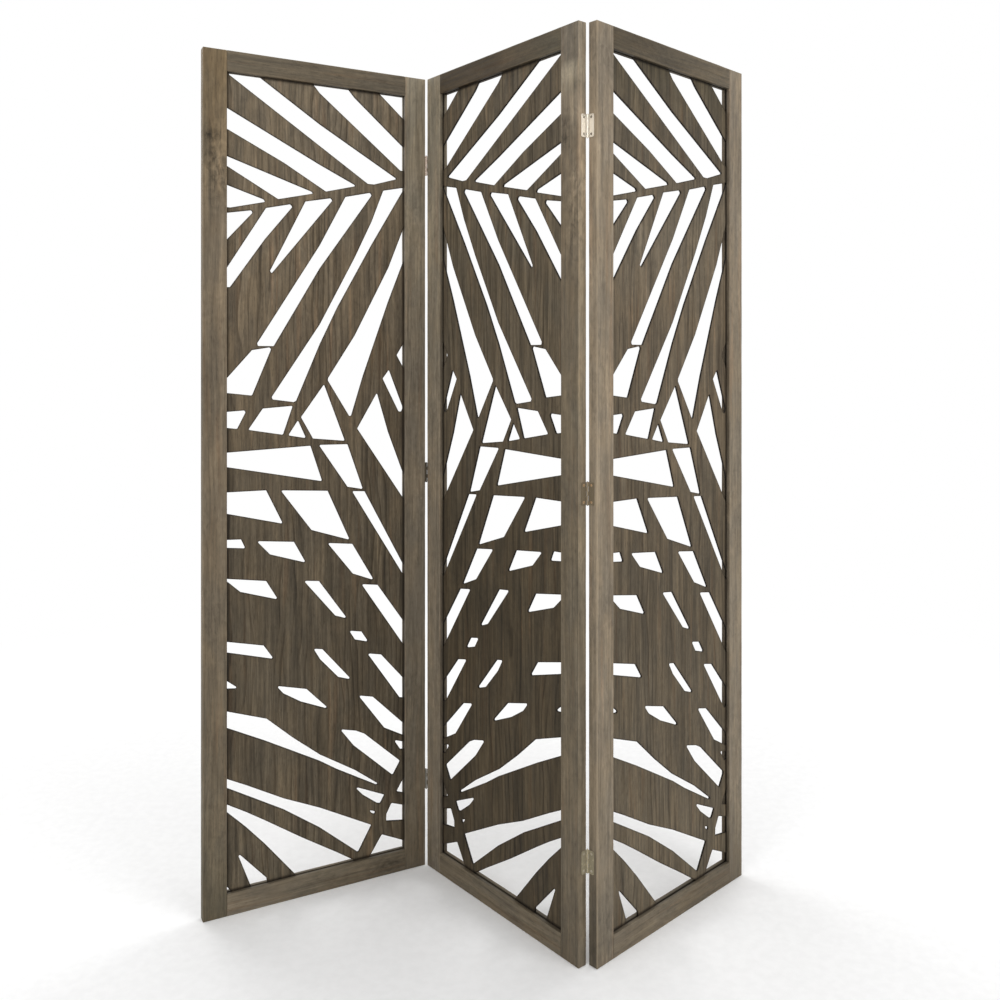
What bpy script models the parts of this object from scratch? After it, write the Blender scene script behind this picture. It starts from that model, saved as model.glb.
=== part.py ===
"""Folding room divider: three framed fretwork panels joined by butt hinges, standing part folded.

Metres, +Z up. The origin is the middle of the footprint, at floor level. The front looks along -Y.
Each panel has its own frame of reference: x along its width from left to right as seen from the
front, y from front to rear, z up, with zero at the middle of its width and thickness, on the floor.
"""

from math import cos, pi, radians, sin, tan

import bmesh
import bpy
from mathutils import Matrix, Vector
from mathutils.geometry import delaunay_2d_cdt

# Frame members of one panel
PANEL_WIDTH = 0.470
PANEL_HEIGHT = 1.702
FRAME_THICKNESS = 0.0195
STILE_WIDTH = 0.0465
TOP_RAIL_HEIGHT = 0.041
BOTTOM_RAIL_HEIGHT = 0.043
ARRIS_EASE = 0.0008
GROOVE_DEPTH = 0.008

# Fretwork infill
INFILL_THICKNESS = 0.004
CUTOUT_CORNER_RADIUS = 0.0018
CORNER_RUN_SHARE = 0.35
CORNER_STEP = radians(70)
HIDDEN_REACH_SHARE = 0.45

# Play between two pieces that touch, play of a pin in its bore, the overrun of every cutter past
# what it cuts, and how near two points are before they count as one
FIT_CLEARANCE = 0.0003
RUNNING_CLEARANCE = 0.00008
CUT_OVERRUN = 0.002
SAME_PLACE = 0.000001

# Butt hinges
HINGE_LENGTH = 0.042
HINGE_HEIGHT_SHARES = {"top": 0.89, "middle": 0.5, "bottom": 0.11}
KNUCKLE_COUNT = 5
KNUCKLE_RADIUS = 0.0018
PIN_RADIUS = 0.0008
PIN_HEAD_RADIUS = 0.0014
PIN_HEAD_HEIGHT = 0.0006
LEAF_WIDTH = 0.013
LEAF_THICKNESS = 0.0007
LEAF_FACE_GAP = 0.0003
LEAF_CORNER_CUT = 0.002
ROUND_SIDES = 12

# Countersunk screws
SCREW_HEAD_RADIUS = 0.0025
SCREW_HEAD_DEPTH = 0.0013
SCREW_SHANK_RADIUS = 0.0012
SCREW_LENGTH = 0.012
SCREW_TIP_LENGTH = 0.003
RECESS_SPAN = 0.0026
RECESS_SLOT_WIDTH = 0.0006
RECESS_DEPTH = 0.0008
SCREW_HEIGHT_SHARES = {"lower": -0.365, "upper": 0.365}
SCREW_SIDES = 10

# Fold: the angle between neighbouring panels, and the heading of the middle panel's width
LEFT_FOLD = radians(101.4)
RIGHT_FOLD = radians(85.7)
MIDDLE_HEADING = radians(-50.7)

# Turns, the least angle that shades as an edge, and how well an edge matches a direction it follows
QUARTER_TURN = pi / 2
HALF_TURN = pi
SHARP_ANGLE = radians(40)
ALONG_SHARE = 0.99

# Worked out from the sizes above
GROOVE_WIDTH = INFILL_THICKNESS + 2 * FIT_CLEARANCE
OPENING_WIDTH = PANEL_WIDTH - 2 * STILE_WIDTH
OPENING_HEIGHT = PANEL_HEIGHT - TOP_RAIL_HEIGHT - BOTTOM_RAIL_HEIGHT
TONGUE_LENGTH = GROOVE_DEPTH - FIT_CLEARANCE
PIN_STANDOFF = KNUCKLE_RADIUS + FIT_CLEARANCE
BORE_RADIUS = PIN_RADIUS + RUNNING_CLEARANCE
PILOT_RADIUS = SCREW_SHANK_RADIUS + FIT_CLEARANCE
SINK_RADIUS = SCREW_HEAD_RADIUS + FIT_CLEARANCE
PANEL_GAP = LEAF_FACE_GAP + 2 * LEAF_THICKNESS + 2 * FIT_CLEARANCE
KNUCKLE_PITCH = HINGE_LENGTH / KNUCKLE_COUNT
AXIS_ACROSS = (PANEL_WIDTH + PANEL_GAP) / 2
AXIS_DEPTH = FRAME_THICKNESS / 2 + PIN_STANDOFF
LEFT_HEADING = MIDDLE_HEADING + HALF_TURN - LEFT_FOLD
RIGHT_HEADING = MIDDLE_HEADING + HALF_TURN - RIGHT_FOLD

# Outlines of the palm leaf cut-outs. Each point is a share of the frame's opening, across from the
# left and up from the bottom. A point at 0 or 1 meets the frame, and the cut runs on beneath it.
CUTOUT_SHARES = (
    # Upper leaf, blades above the rib
    ((0.012, 1), (0.016, 0.9972), (0.783, 0.8795), (0.82, 0.8795), (0.96, 0.8895), (0.505, 0.95),
     (0.172, 1)),
    ((0.466, 1), (0.505, 0.9895), (0.977, 0.9012), (1, 0.9004), (1, 0.932), (0.705, 0.99), (0.667, 1)),
    ((0.848, 1), (1, 0.9692), (1, 1)),
    ((0, 0.9573), (0, 0.9314), (0.305, 0.8965), (0.54, 0.8648), (0.718, 0.8755), (0.505, 0.8985)),
    ((0, 0.8982), (0, 0.8862), (0.275, 0.8502), (0.468, 0.8608), (0.46, 0.8632)),
    ((0, 0.863), (0, 0.8355), (0.02, 0.8352), (0.206, 0.8455), (0.198, 0.8485)),
    # Upper leaf, blades below the rib
    ((0, 0.8284), (0.132, 0.8338), (0.139, 0.831), (0, 0.7951)),
    ((0.21, 0.838), (0.342, 0.845), (0.354, 0.842), (0.205, 0.7995), (0.02, 0.738), (0, 0.738), (0, 0.76)),
    ((0.425, 0.85), (0.568, 0.8568), (0.578, 0.854), (0.258, 0.762), (0.24, 0.757), (0.231, 0.76)),
    ((0.652, 0.86), (0.798, 0.8682), (0.807, 0.865), (0.505, 0.766), (0.252, 0.6665), (0.165, 0.6665),
     (0.163, 0.67), (0.505, 0.7955)),
    ((0.875, 0.8725), (1, 0.8788), (1, 0.8765), (0.805, 0.8), (0.605, 0.7168), (0.505, 0.669),
     (0.375, 0.598), (0.362, 0.5962), (0.245, 0.6), (0.24, 0.603), (0.505, 0.6947), (0.705, 0.782),
     (0.805, 0.8305)),
    ((1, 0.8262), (0.905, 0.771), (0.705, 0.681), (0.552, 0.6262), (0.551, 0.623), (0.674, 0.5768),
     (0.686, 0.5772), (0.755, 0.6289), (0.905, 0.7263), (1, 0.7821)),
    # Middle of the panel, where the two leaves cross
    ((0, 0.6258), (0.135, 0.6612), (0.23, 0.6648), (0.238, 0.6625), (0.136, 0.6052), (0, 0.6089)),
    ((0, 0.5856), (0.096, 0.587), (0.102, 0.5845), (0.058, 0.5645), (0, 0.5663)),
    ((0.115, 0.563), (0.192, 0.5888), (0.356, 0.5915), (0.302, 0.5555)),
    ((0.384, 0.5735), (0.33, 0.5545), (0.429, 0.5503)),
    ((0.53, 0.6185), (0.4, 0.577), (0.467, 0.5495), (0.65, 0.545)),
    ((0, 0.5359), (0.454, 0.5404), (0.52, 0.4945), (0, 0.5185)),
    ((0.5, 0.541), (0.665, 0.5405), (0.755, 0.4812), (0.664, 0.4855)),
    ((0.838, 0.607), (0.72, 0.5605), (1, 0.4644), (1, 0.497), (0.905, 0.5549)),
    ((0.956, 0.656), (1, 0.6727), (1, 0.6377)),
    ((0.871, 0.625), (0.91, 0.637), (0.995, 0.5865), (0.985, 0.581), (0.967, 0.5815)),
    ((0, 0.4875), (0.211, 0.4872), (0.302, 0.444), (0, 0.4616)),
    ((0.289, 0.486), (0.551, 0.4818), (0.678, 0.4165), (0.459, 0.4333)),
    ((0.69, 0.4795), (0.765, 0.4782), (1, 0.3765), (1, 0.3655), (0.99, 0.3665)),
    # Lower leaf, short blades between the veins
    ((0, 0.4296), (0.078, 0.4288), (0.101, 0.4172), (0, 0.4199)),
    ((0.16, 0.425), (0.362, 0.4202), (0.428, 0.3925), (0.232, 0.407)),
    ((0.549, 0.415), (0.693, 0.411), (0.82, 0.361), (0.695, 0.3725)),
    ((0, 0.3822), (0.211, 0.3745), (0.275, 0.3498), (0.075, 0.3642), (0, 0.38)),
    ((0.416, 0.3698), (0.501, 0.3675), (0.663, 0.315), (0.594, 0.3208)),
    ((0.746, 0.3575), (0.842, 0.3542), (1, 0.3018), (1, 0.2705)),
    ((0, 0.3055), (0.197, 0.2948), (0.252, 0.2762), (0, 0.2924)),
    ((0.674, 0.299), (0.746, 0.2958), (0.787, 0.2812), (0.708, 0.2865)),
    ((0.47, 0.2822), (0.52, 0.28), (0.688, 0.2352), (0.612, 0.2412), (0.508, 0.2675)),
    ((0.781, 0.2662), (0.862, 0.2622), (1, 0.2257), (1, 0.2005), (0.975, 0.2015)),
    ((0, 0.2582), (0.066, 0.2462), (0, 0.2482)),
    ((0.266, 0.2422), (0.43, 0.2325), (0.56, 0.2018), (0.4, 0.2175), (0.305, 0.2312)),
    ((0.728, 0.2132), (0.812, 0.2085), (1, 0.1658), (1, 0.1502), (0.882, 0.165)),
    ((0.622, 0.1735), (0.712, 0.1682), (0.762, 0.1622), (0.977, 0.1172), (0.933, 0.1003), (0.7, 0.1495)),
    ((0.94, 0.1465), (1, 0.1418), (1, 0.1323), (0.978, 0.1328)),
    # Lower leaf, long blades at the foot
    ((0, 0.2207), (0.212, 0.2035), (0.355, 0.174), (0.505, 0.1462), (0.705, 0.1176), (0.9, 0.0835),
     (0.605, 0.1228), (0.505, 0.138), (0.205, 0.1763), (0, 0.2006)),
    ((0, 0.1386), (0.104, 0.126), (0.305, 0.1), (0.505, 0.0785), (0.805, 0.041), (0.726, 0.0095),
     (0.505, 0.053), (0.305, 0.086), (0, 0.1275)),
    ((0, 0.1075), (0.105, 0.0928), (0.205, 0.0775), (0.405, 0.0458), (0.605, 0.016), (0.706, 0),
     (0.373, 0), (0.205, 0.048), (0.105, 0.074), (0, 0.0985)),
    ((0.703, 0.096), (0.883, 0.0768), (0.857, 0.0668), (0.838, 0.068), (0.755, 0.0825)),
    ((0.79, 0.0612), (0.826, 0.0578), (0.824, 0.0543), (0.808, 0.056)),
    ((0.954, 0.0778), (1, 0.0948), (1, 0.0739)),
    ((0.924, 0.064), (1, 0.0576), (1, 0.0376), (0.892, 0.0418), (0.894, 0.051)),
    ((0.866, 0.0255), (1, 0.0106), (1, 0), (0.792, 0)),
    ((0.056, 0.046), (0.212, 0.006), (0.216, 0), (0.13, 0)),
    ((0, 0.0083), (0.025, 0), (0, 0)),
)


# Materials

def material(name, colour, roughness, metallic=0.0):
    """A plain finish, with its colour in linear light."""
    found = bpy.data.materials.get(name)
    if found:
        return found
    made = bpy.data.materials.new(name)
    made.use_nodes = True
    shader = made.node_tree.nodes["Principled BSDF"]
    shader.inputs["Base Color"].default_value = (*colour, 1.0)
    shader.inputs["Roughness"].default_value = roughness
    shader.inputs["Metallic"].default_value = metallic
    made.diffuse_color = (*colour, 1.0)
    return made


def frame_stain():
    return material("frame_stain", (0.155, 0.127, 0.092), 0.62)


def infill_stain():
    return material("infill_stain", (0.092, 0.072, 0.05), 0.6)


def leaf_plating():
    return material("leaf_plating", (0.42, 0.4, 0.36), 0.38, 1.0)


def pin_steel():
    return material("pin_steel", (0.5, 0.48, 0.44), 0.32, 1.0)


def screw_plating():
    return material("screw_plating", (0.46, 0.43, 0.36), 0.35, 1.0)


# Solids

def clear_scene():
    for obj in list(bpy.data.objects):
        bpy.data.objects.remove(obj, do_unlink=True)


def link(name, data):
    obj = bpy.data.objects.new(name, data)
    bpy.context.scene.collection.objects.link(obj)
    return obj


def prism(name, outline, depth_low, depth_high, axes):
    """A flat outline carried from one depth to another.

    The axes are three unit vectors: the outline's first and second direction, then the depth's.
    """
    across, along, through = (Vector(axis) for axis in axes)
    shape = bmesh.new()
    low = [shape.verts.new(across * a + along * b + through * depth_low) for a, b in outline]
    high = [shape.verts.new(across * a + along * b + through * depth_high) for a, b in outline]
    shape.faces.new(low)
    shape.faces.new(high)
    for i in range(len(outline)):
        j = (i + 1) % len(outline)
        shape.faces.new((low[i], low[j], high[j], high[i]))
    bmesh.ops.recalc_face_normals(shape, faces=shape.faces)
    mesh = bpy.data.meshes.new(name)
    shape.to_mesh(mesh)
    shape.free()
    return link(name, mesh)


def box(name, low, high):
    outline = ((low[0], low[1]), (high[0], low[1]), (high[0], high[1]), (low[0], high[1]))
    return prism(name, outline, low[2], high[2], ((1, 0, 0), (0, 1, 0), (0, 0, 1)))


def turned(name, profile, sides, axis="Z"):
    """A solid of revolution. The profile runs from one pole to the other as (radius, height)."""
    shape = bmesh.new()
    rings = []
    for radius, height in profile:
        if radius == 0:
            rings.append([shape.verts.new((0, 0, height))])
            continue
        angles = [2 * pi * (k + 0.5) / sides for k in range(sides)]
        rings.append([shape.verts.new((radius * cos(a), radius * sin(a), height)) for a in angles])
    for first, second in zip(rings, rings[1:]):
        for k in range(sides):
            n = (k + 1) % sides
            corners = [first[k % len(first)], first[n % len(first)]]
            corners += [second[n % len(second)], second[k % len(second)]]
            shape.faces.new(list(dict.fromkeys(corners)))
    bmesh.ops.recalc_face_normals(shape, faces=shape.faces)
    if axis == "X":
        bmesh.ops.rotate(shape, verts=shape.verts, matrix=Matrix.Rotation(QUARTER_TURN, 3, "Y"))
    mesh = bpy.data.meshes.new(name)
    shape.to_mesh(mesh)
    shape.free()
    mesh.shade_smooth()
    mesh.set_sharp_from_angle(angle=SHARP_ANGLE)
    return link(name, mesh)


def rod(name, radius, low, high, sides, axis="Z"):
    return turned(name, ((0, low), (radius, low), (radius, high), (0, high)), sides, axis)


def combine(obj, other, operation):
    """Join a shape to the object or cut it from it, and hide the shape."""
    modifier = obj.modifiers.new(f"{operation.lower()}_{other.name}", "BOOLEAN")
    modifier.operation = operation
    modifier.solver = "EXACT"
    modifier.object = other
    other.hide_render = True
    other.display_type = "WIRE"


def settle(obj, helpers):
    """Fix the object's modifiers in its mesh and remove the shapes they used."""
    graph = bpy.context.evaluated_depsgraph_get()
    mesh = bpy.data.meshes.new_from_object(obj.evaluated_get(graph))
    mesh.name = obj.name
    obj.modifiers.clear()
    obj.data = mesh
    for helper in helpers:
        bpy.data.objects.remove(helper, do_unlink=True)


def cut_all(obj, cutters):
    for cutter in cutters:
        combine(obj, cutter, "DIFFERENCE")
    settle(obj, cutters)


def ease_arrises(obj, direction=None):
    """Chamfer the edges that run along a direction, or every edge where none is given."""
    shape = bmesh.new()
    shape.from_mesh(obj.data)
    edges = []
    for edge in shape.edges:
        run = (edge.verts[0].co - edge.verts[1].co).normalized()
        if direction is None or abs(run.dot(Vector(direction))) > ALONG_SHARE:
            edges.append(edge)
    bmesh.ops.bevel(shape, geom=edges, offset=ARRIS_EASE, segments=1, affect="EDGES")
    shape.to_mesh(obj.data)
    shape.free()


# Frame members

def stile(name, side, facing=0):
    """An upright. Side is -1 on the left and +1 on the right of its panel.

    Facing is -1 where hinges hold it with their pins in front of the panel, +1 where the pins
    are behind it, and 0 on a stile without hinges.
    """
    outer = side * PANEL_WIDTH / 2
    inner = side * OPENING_WIDTH / 2
    low = (min(outer, inner), -FRAME_THICKNESS / 2, 0)
    high = (max(outer, inner), FRAME_THICKNESS / 2, PANEL_HEIGHT)
    obj = box(name, low, high)
    ease_arrises(obj)
    floor = inner + side * GROOVE_DEPTH
    mouth = inner - side * CUT_OVERRUN
    groove = box(
        f"{name}_groove",
        (min(floor, mouth), -GROOVE_WIDTH / 2, -CUT_OVERRUN),
        (max(floor, mouth), GROOVE_WIDTH / 2, PANEL_HEIGHT + CUT_OVERRUN),
    )
    helpers = [groove]
    if facing:
        helpers += screw_drills(name, side, facing)
    cut_all(obj, helpers)
    obj.data.materials.append(frame_stain())
    return obj


def screw_drills(name, side, facing):
    """The holes of the hinge screws, bored and sunk into a stile's outer edge."""
    drills = []
    for hinge, height_share in HINGE_HEIGHT_SHARES.items():
        for place, offset_share in SCREW_HEIGHT_SHARES.items():
            drill = screw_space(f"{name}_drill_{hinge}_{place}")
            drill.location.x = side * (AXIS_ACROSS - LEAF_FACE_GAP / 2)
            drill.location.y = facing * (FRAME_THICKNESS - LEAF_WIDTH) / 2
            drill.location.z = height_share * PANEL_HEIGHT + offset_share * HINGE_LENGTH
            drill.rotation_euler.z = HALF_TURN if side > 0 else 0
            drills.append(drill)
    return drills


def rail(name, outer, height, inward):
    """A cross member from its outer edge inward, which is +1 upward and -1 downward.

    A stub tenon at each end fills the stile's groove, clear of the infill's corner.
    """
    half = OPENING_WIDTH / 2 - FIT_CLEARANCE
    inner = outer + inward * height
    low, high = sorted((outer, inner))
    obj = box(name, (-half, -FRAME_THICKNESS / 2, low), (half, FRAME_THICKNESS / 2, high))
    ease_arrises(obj, (1, 0, 0))
    floor = inner - inward * GROOVE_DEPTH
    tenon_reach = OPENING_WIDTH / 2 + TONGUE_LENGTH
    low, high = sorted((outer + inward * ARRIS_EASE, floor - inward * FIT_CLEARANCE))
    tenon = box(
        f"{name}_tenon",
        (-tenon_reach, -INFILL_THICKNESS / 2, low),
        (tenon_reach, INFILL_THICKNESS / 2, high),
    )
    combine(obj, tenon, "UNION")
    low, high = sorted((floor, inner + inward * CUT_OVERRUN))
    groove = box(
        f"{name}_groove",
        (-half - CUT_OVERRUN, -GROOVE_WIDTH / 2, low),
        (half + CUT_OVERRUN, GROOVE_WIDTH / 2, high),
    )
    combine(obj, groove, "DIFFERENCE")
    settle(obj, (tenon, groove))
    obj.data.materials.append(frame_stain())
    return obj


def top_rail(name):
    return rail(name, PANEL_HEIGHT, TOP_RAIL_HEIGHT, -1)


def bottom_rail(name):
    return rail(name, 0, BOTTOM_RAIL_HEIGHT, 1)


# Infill

def frame_sides(point):
    """The sides of the opening that a point of shares lies on."""
    across, up = point
    found = {"left": across == 0, "right": across == 1, "foot": up == 0, "head": up == 1}
    return {side for side, touches in found.items() if touches}


def place_share(point, mirror):
    """A point of shares as a place on the panel."""
    across = mirror * (point[0] - 0.5) * OPENING_WIDTH
    return Vector((across, BOTTOM_RAIL_HEIGHT + point[1] * OPENING_HEIGHT))


def beneath_frame(point, sides, mirror):
    """The place where a cut that meets the frame ends, inside the groove."""
    reach = GROOVE_DEPTH * HIDDEN_REACH_SHARE
    across = ("right" in sides) - ("left" in sides)
    up = ("head" in sides) - ("foot" in sides)
    return place_share(point, mirror) + Vector((mirror * across * reach, up * reach))


def rounded_corner(corner, before, after):
    """The arc that takes a corner's place, touching the straight edges on both sides of it."""
    inbound, outbound = before - corner, after - corner
    half_angle = inbound.angle(outbound) / 2
    run = min(
        CUTOUT_CORNER_RADIUS / tan(half_angle),
        inbound.length * CORNER_RUN_SHARE,
        outbound.length * CORNER_RUN_SHARE,
    )
    inbound.normalize()
    outbound.normalize()
    start, end = corner + inbound * run, corner + outbound * run
    centre = corner + (inbound + outbound).normalized() * run / cos(half_angle)
    sweep = (start - centre).angle_signed(end - centre)
    steps = max(1, round(abs(sweep) / CORNER_STEP))
    turns = [Matrix.Rotation(-sweep * k / steps, 2) for k in range(steps + 1)]
    return [centre + turn @ (start - centre) for turn in turns]


def cutout_outline(shares, mirror):
    """One cut-out's closed outline on the panel, as places across and up."""
    outline = []
    for k, point in enumerate(shares):
        before, after = shares[k - 1], shares[(k + 1) % len(shares)]
        sides = frame_sides(point)
        if not sides:
            near = [place_share(each, mirror) for each in (point, before, after)]
            outline += rounded_corner(*near)
        elif len(sides) > 1:
            outline.append(beneath_frame(point, sides, mirror))
        else:
            pair = [place_share(point, mirror), beneath_frame(point, sides, mirror)]
            outline += pair if sides & frame_sides(after) else pair[::-1]
    return outline


def counterclockwise(loop):
    """The loop itself or its reverse, whichever runs counter-clockwise."""
    turning = sum(loop[k - 1].cross(place) for k, place in enumerate(loop))
    return loop if turning > 0 else loop[::-1]


def fretted_sheet(loops, depth):
    """A flat upright sheet of triangles inside the first loop and outside the others, the holes."""
    places, outlines = [], []
    for loop in loops:
        outlines.append(list(range(len(places), len(places) + len(loop))))
        places += counterclockwise(loop)
    within_outlines = 1
    found = delaunay_2d_cdt(places, [], outlines, within_outlines, SAME_PLACE)
    verts, _, faces, _, _, covers = found
    shape = bmesh.new()
    corners = [shape.verts.new((x, depth, z)) for x, z in verts]
    for face, cover in zip(faces, covers):
        if list(cover) == [0]:
            shape.faces.new([corners[k] for k in face])
    return shape


def infill(name, mirror):
    """The fretwork board, held in the grooves all round. Mirror is -1 where the leaf is reversed."""
    reach = OPENING_WIDTH / 2 + TONGUE_LENGTH
    foot = BOTTOM_RAIL_HEIGHT - TONGUE_LENGTH
    head = PANEL_HEIGHT - TOP_RAIL_HEIGHT + TONGUE_LENGTH
    rim = [Vector(place) for place in ((-reach, foot), (reach, foot), (reach, head), (-reach, head))]
    holes = [cutout_outline(shares, mirror) for shares in CUTOUT_SHARES]
    shape = fretted_sheet([rim, *holes], -INFILL_THICKNESS / 2)
    sheet = bmesh.ops.extrude_face_region(shape, geom=shape.faces[:])
    moved = [each for each in sheet["geom"] if isinstance(each, bmesh.types.BMVert)]
    bmesh.ops.translate(shape, verts=moved, vec=(0, INFILL_THICKNESS, 0))
    bmesh.ops.recalc_face_normals(shape, faces=shape.faces)
    mesh = bpy.data.meshes.new(name)
    shape.to_mesh(mesh)
    shape.free()
    mesh.materials.append(infill_stain())
    return link(name, mesh)


# Hinges, each with its origin on the pin axis at mid-height. The leaves lie face to face with the
# screen flat: they run along +y from the pin, the swinging one at -x and the fixed one at +x.

def knuckle_span(index):
    """The lower and upper end of a knuckle, with play to its neighbours."""
    low = (index - KNUCKLE_COUNT / 2) * KNUCKLE_PITCH
    high = low + KNUCKLE_PITCH
    first, last = index == 0, index == KNUCKLE_COUNT - 1
    return low + (0 if first else FIT_CLEARANCE / 2), high - (0 if last else FIT_CLEARANCE / 2)


def leaf_outline(knuckles):
    """The leaf's plate seen from its face, as places along y and z."""
    free, top = PIN_STANDOFF + LEAF_WIDTH, HINGE_LENGTH / 2
    neck = (BORE_RADIUS + KNUCKLE_RADIUS) / 2
    notch = KNUCKLE_RADIUS + 2 * FIT_CLEARANCE
    outline = [(notch, -top), (free - LEAF_CORNER_CUT, -top), (free, LEAF_CORNER_CUT - top)]
    outline += [(free, top - LEAF_CORNER_CUT), (free - LEAF_CORNER_CUT, top), (notch, top)]
    for index in reversed(knuckles):
        low, high = knuckle_span(index)
        outline += [(notch, high), (neck, high), (neck, low), (notch, low)]
    return list(dict.fromkeys(outline))


def screw_space(name):
    """The room for a countersunk screw, which lies along +x with its head's face at zero."""
    end = SCREW_LENGTH + FIT_CLEARANCE
    profile = (
        (0, -CUT_OVERRUN),
        (SINK_RADIUS, -CUT_OVERRUN),
        (SINK_RADIUS, 0),
        (PILOT_RADIUS, SCREW_HEAD_DEPTH),
        (PILOT_RADIUS, end),
        (0, end),
    )
    return turned(name, profile, SCREW_SIDES, "X")


def leaf(name, side, knuckles):
    """A hinge leaf with the given knuckles. Side is -1 for the swinging leaf, +1 for the fixed one."""
    near = side * LEAF_FACE_GAP / 2
    low_face, high_face = sorted((near, near + side * LEAF_THICKNESS))
    plate = prism(name, leaf_outline(knuckles), low_face, high_face, ((0, 1, 0), (0, 0, 1), (1, 0, 0)))
    helpers = []
    for index in knuckles:
        low, high = knuckle_span(index)
        barrel = rod(f"{name}_knuckle_{index}", KNUCKLE_RADIUS, low, high, ROUND_SIDES)
        combine(plate, barrel, "UNION")
        helpers.append(barrel)
    end = HINGE_LENGTH / 2 + CUT_OVERRUN
    cutters = [rod(f"{name}_bore", BORE_RADIUS, -end, end, ROUND_SIDES)]
    for place, offset_share in SCREW_HEIGHT_SHARES.items():
        sink = screw_space(f"{name}_sink_{place}")
        sink.location = (near, PIN_STANDOFF + LEAF_WIDTH / 2, offset_share * HINGE_LENGTH)
        sink.rotation_euler.z = 0 if side > 0 else HALF_TURN
        cutters.append(sink)
    for cutter in cutters:
        combine(plate, cutter, "DIFFERENCE")
    settle(plate, helpers + cutters)
    plate.data.materials.append(leaf_plating())
    return plate


def swing_leaf(name):
    return leaf(name, -1, list(range(0, KNUCKLE_COUNT, 2)))


def fixed_leaf(name):
    return leaf(name, 1, list(range(1, KNUCKLE_COUNT, 2)))


def pin(name):
    """The hinge pin, with a peened head past each end of the barrel."""
    shoulder = HINGE_LENGTH / 2 + FIT_CLEARANCE
    tip = shoulder + PIN_HEAD_HEIGHT
    upper = (
        (PIN_RADIUS, shoulder),
        (PIN_HEAD_RADIUS, shoulder),
        (PIN_HEAD_RADIUS, tip - PIN_HEAD_HEIGHT / 2),
        (PIN_HEAD_RADIUS - PIN_HEAD_HEIGHT / 2, tip),
        (0, tip),
    )
    lower = tuple((radius, -height) for radius, height in reversed(upper))
    obj = turned(name, lower + upper, ROUND_SIDES)
    obj.data.materials.append(pin_steel())
    return obj


def screw(name):
    """A countersunk screw driven along +x, with its head's face at zero and a cross recess."""
    profile = (
        (0, 0),
        (SCREW_HEAD_RADIUS, 0),
        (SCREW_SHANK_RADIUS, SCREW_HEAD_DEPTH),
        (SCREW_SHANK_RADIUS, SCREW_LENGTH - SCREW_TIP_LENGTH),
        (0, SCREW_LENGTH),
    )
    obj = turned(name, profile, SCREW_SIDES, "X")
    long, short = RECESS_SPAN / 2, RECESS_SLOT_WIDTH / 2
    slots = [
        box(f"{name}_slot_upright", (-CUT_OVERRUN, -short, -long), (RECESS_DEPTH, short, long)),
        box(f"{name}_slot_level", (-CUT_OVERRUN, -long, -short), (RECESS_DEPTH, long, short)),
    ]
    cut_all(obj, slots)
    obj.data.materials.append(screw_plating())
    return obj


# Assembly

def spot(x, y, z=0, turn=0):
    return Matrix.Translation((x, y, z)) @ Matrix.Rotation(turn, 4, "Z")


def panel_spots():
    """For each panel: the spot it hangs from, and its own middle seen from there.

    The middle panel stands by itself. The others hang from their hinge axis. All are moved so that
    the footprint's middle is the origin.
    """
    middle = spot(0, 0, 0, MIDDLE_HEADING)
    left = spot(*(middle @ Vector((-AXIS_ACROSS, -AXIS_DEPTH, 0))).xy, 0, LEFT_HEADING)
    right = spot(*(middle @ Vector((AXIS_ACROSS, AXIS_DEPTH, 0))).xy, 0, RIGHT_HEADING)
    spots = {
        "left": (left, spot(-AXIS_ACROSS, AXIS_DEPTH)),
        "middle": (middle, spot(0, 0)),
        "right": (right, spot(AXIS_ACROSS, -AXIS_DEPTH)),
    }
    shift = spot(*(-footprint_middle(spots.values())))
    return {name: (shift @ hang, own) for name, (hang, own) in spots.items()}


def footprint_middle(spots):
    """The middle of the box around the panels' feet, across and in depth."""
    across, depth = PANEL_WIDTH / 2, FRAME_THICKNESS / 2
    corners = []
    for hang, own in spots:
        for x, y in ((-across, -depth), (-across, depth), (across, -depth), (across, depth)):
            corners.append((hang @ own @ Vector((x, y, 0))).xy)
    low = Vector(min(corner[axis] for corner in corners) for axis in range(2))
    high = Vector(max(corner[axis] for corner in corners) for axis in range(2))
    return (low + high) / 2


def carry(obj, parent, where):
    obj.parent = parent
    obj.matrix_basis = where


def copy_of(pattern, name):
    return link(name, pattern.data)


def build_panel(panel, parent, own, hinge_facings, mirror):
    """The frame and infill of one panel. The facings are those of its left and right stile."""
    left_facing, right_facing = hinge_facings
    pieces = (
        stile(f"{panel}_panel_left_stile", -1, left_facing),
        stile(f"{panel}_panel_right_stile", 1, right_facing),
        top_rail(f"{panel}_panel_top_rail"),
        bottom_rail(f"{panel}_panel_bottom_rail"),
        infill(f"{panel}_panel_infill", mirror),
    )
    for piece in pieces:
        carry(piece, parent, own)


def build_hinge(name, patterns, anchors):
    """A hinge of copied patterns. The anchors are its spot on the swinging and the fixed panel."""
    (swing_parent, swing_spot), (fixed_parent, fixed_spot) = anchors
    carry(copy_of(patterns["swing"], f"{name}_swing_leaf"), swing_parent, swing_spot)
    carry(copy_of(patterns["fixed"], f"{name}_fixed_leaf"), fixed_parent, fixed_spot)
    carry(copy_of(patterns["pin"], f"{name}_pin"), fixed_parent, fixed_spot)
    depth = PIN_STANDOFF + LEAF_WIDTH / 2
    for place, offset_share in SCREW_HEIGHT_SHARES.items():
        height = offset_share * HINGE_LENGTH
        swing_screw = copy_of(patterns["screw"], f"{name}_swing_screw_{place}")
        carry(swing_screw, swing_parent, swing_spot @ spot(-LEAF_FACE_GAP / 2, depth, height, HALF_TURN))
        fixed_screw = copy_of(patterns["screw"], f"{name}_fixed_screw_{place}")
        carry(fixed_screw, fixed_parent, fixed_spot @ spot(LEAF_FACE_GAP / 2, depth, height))


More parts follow.
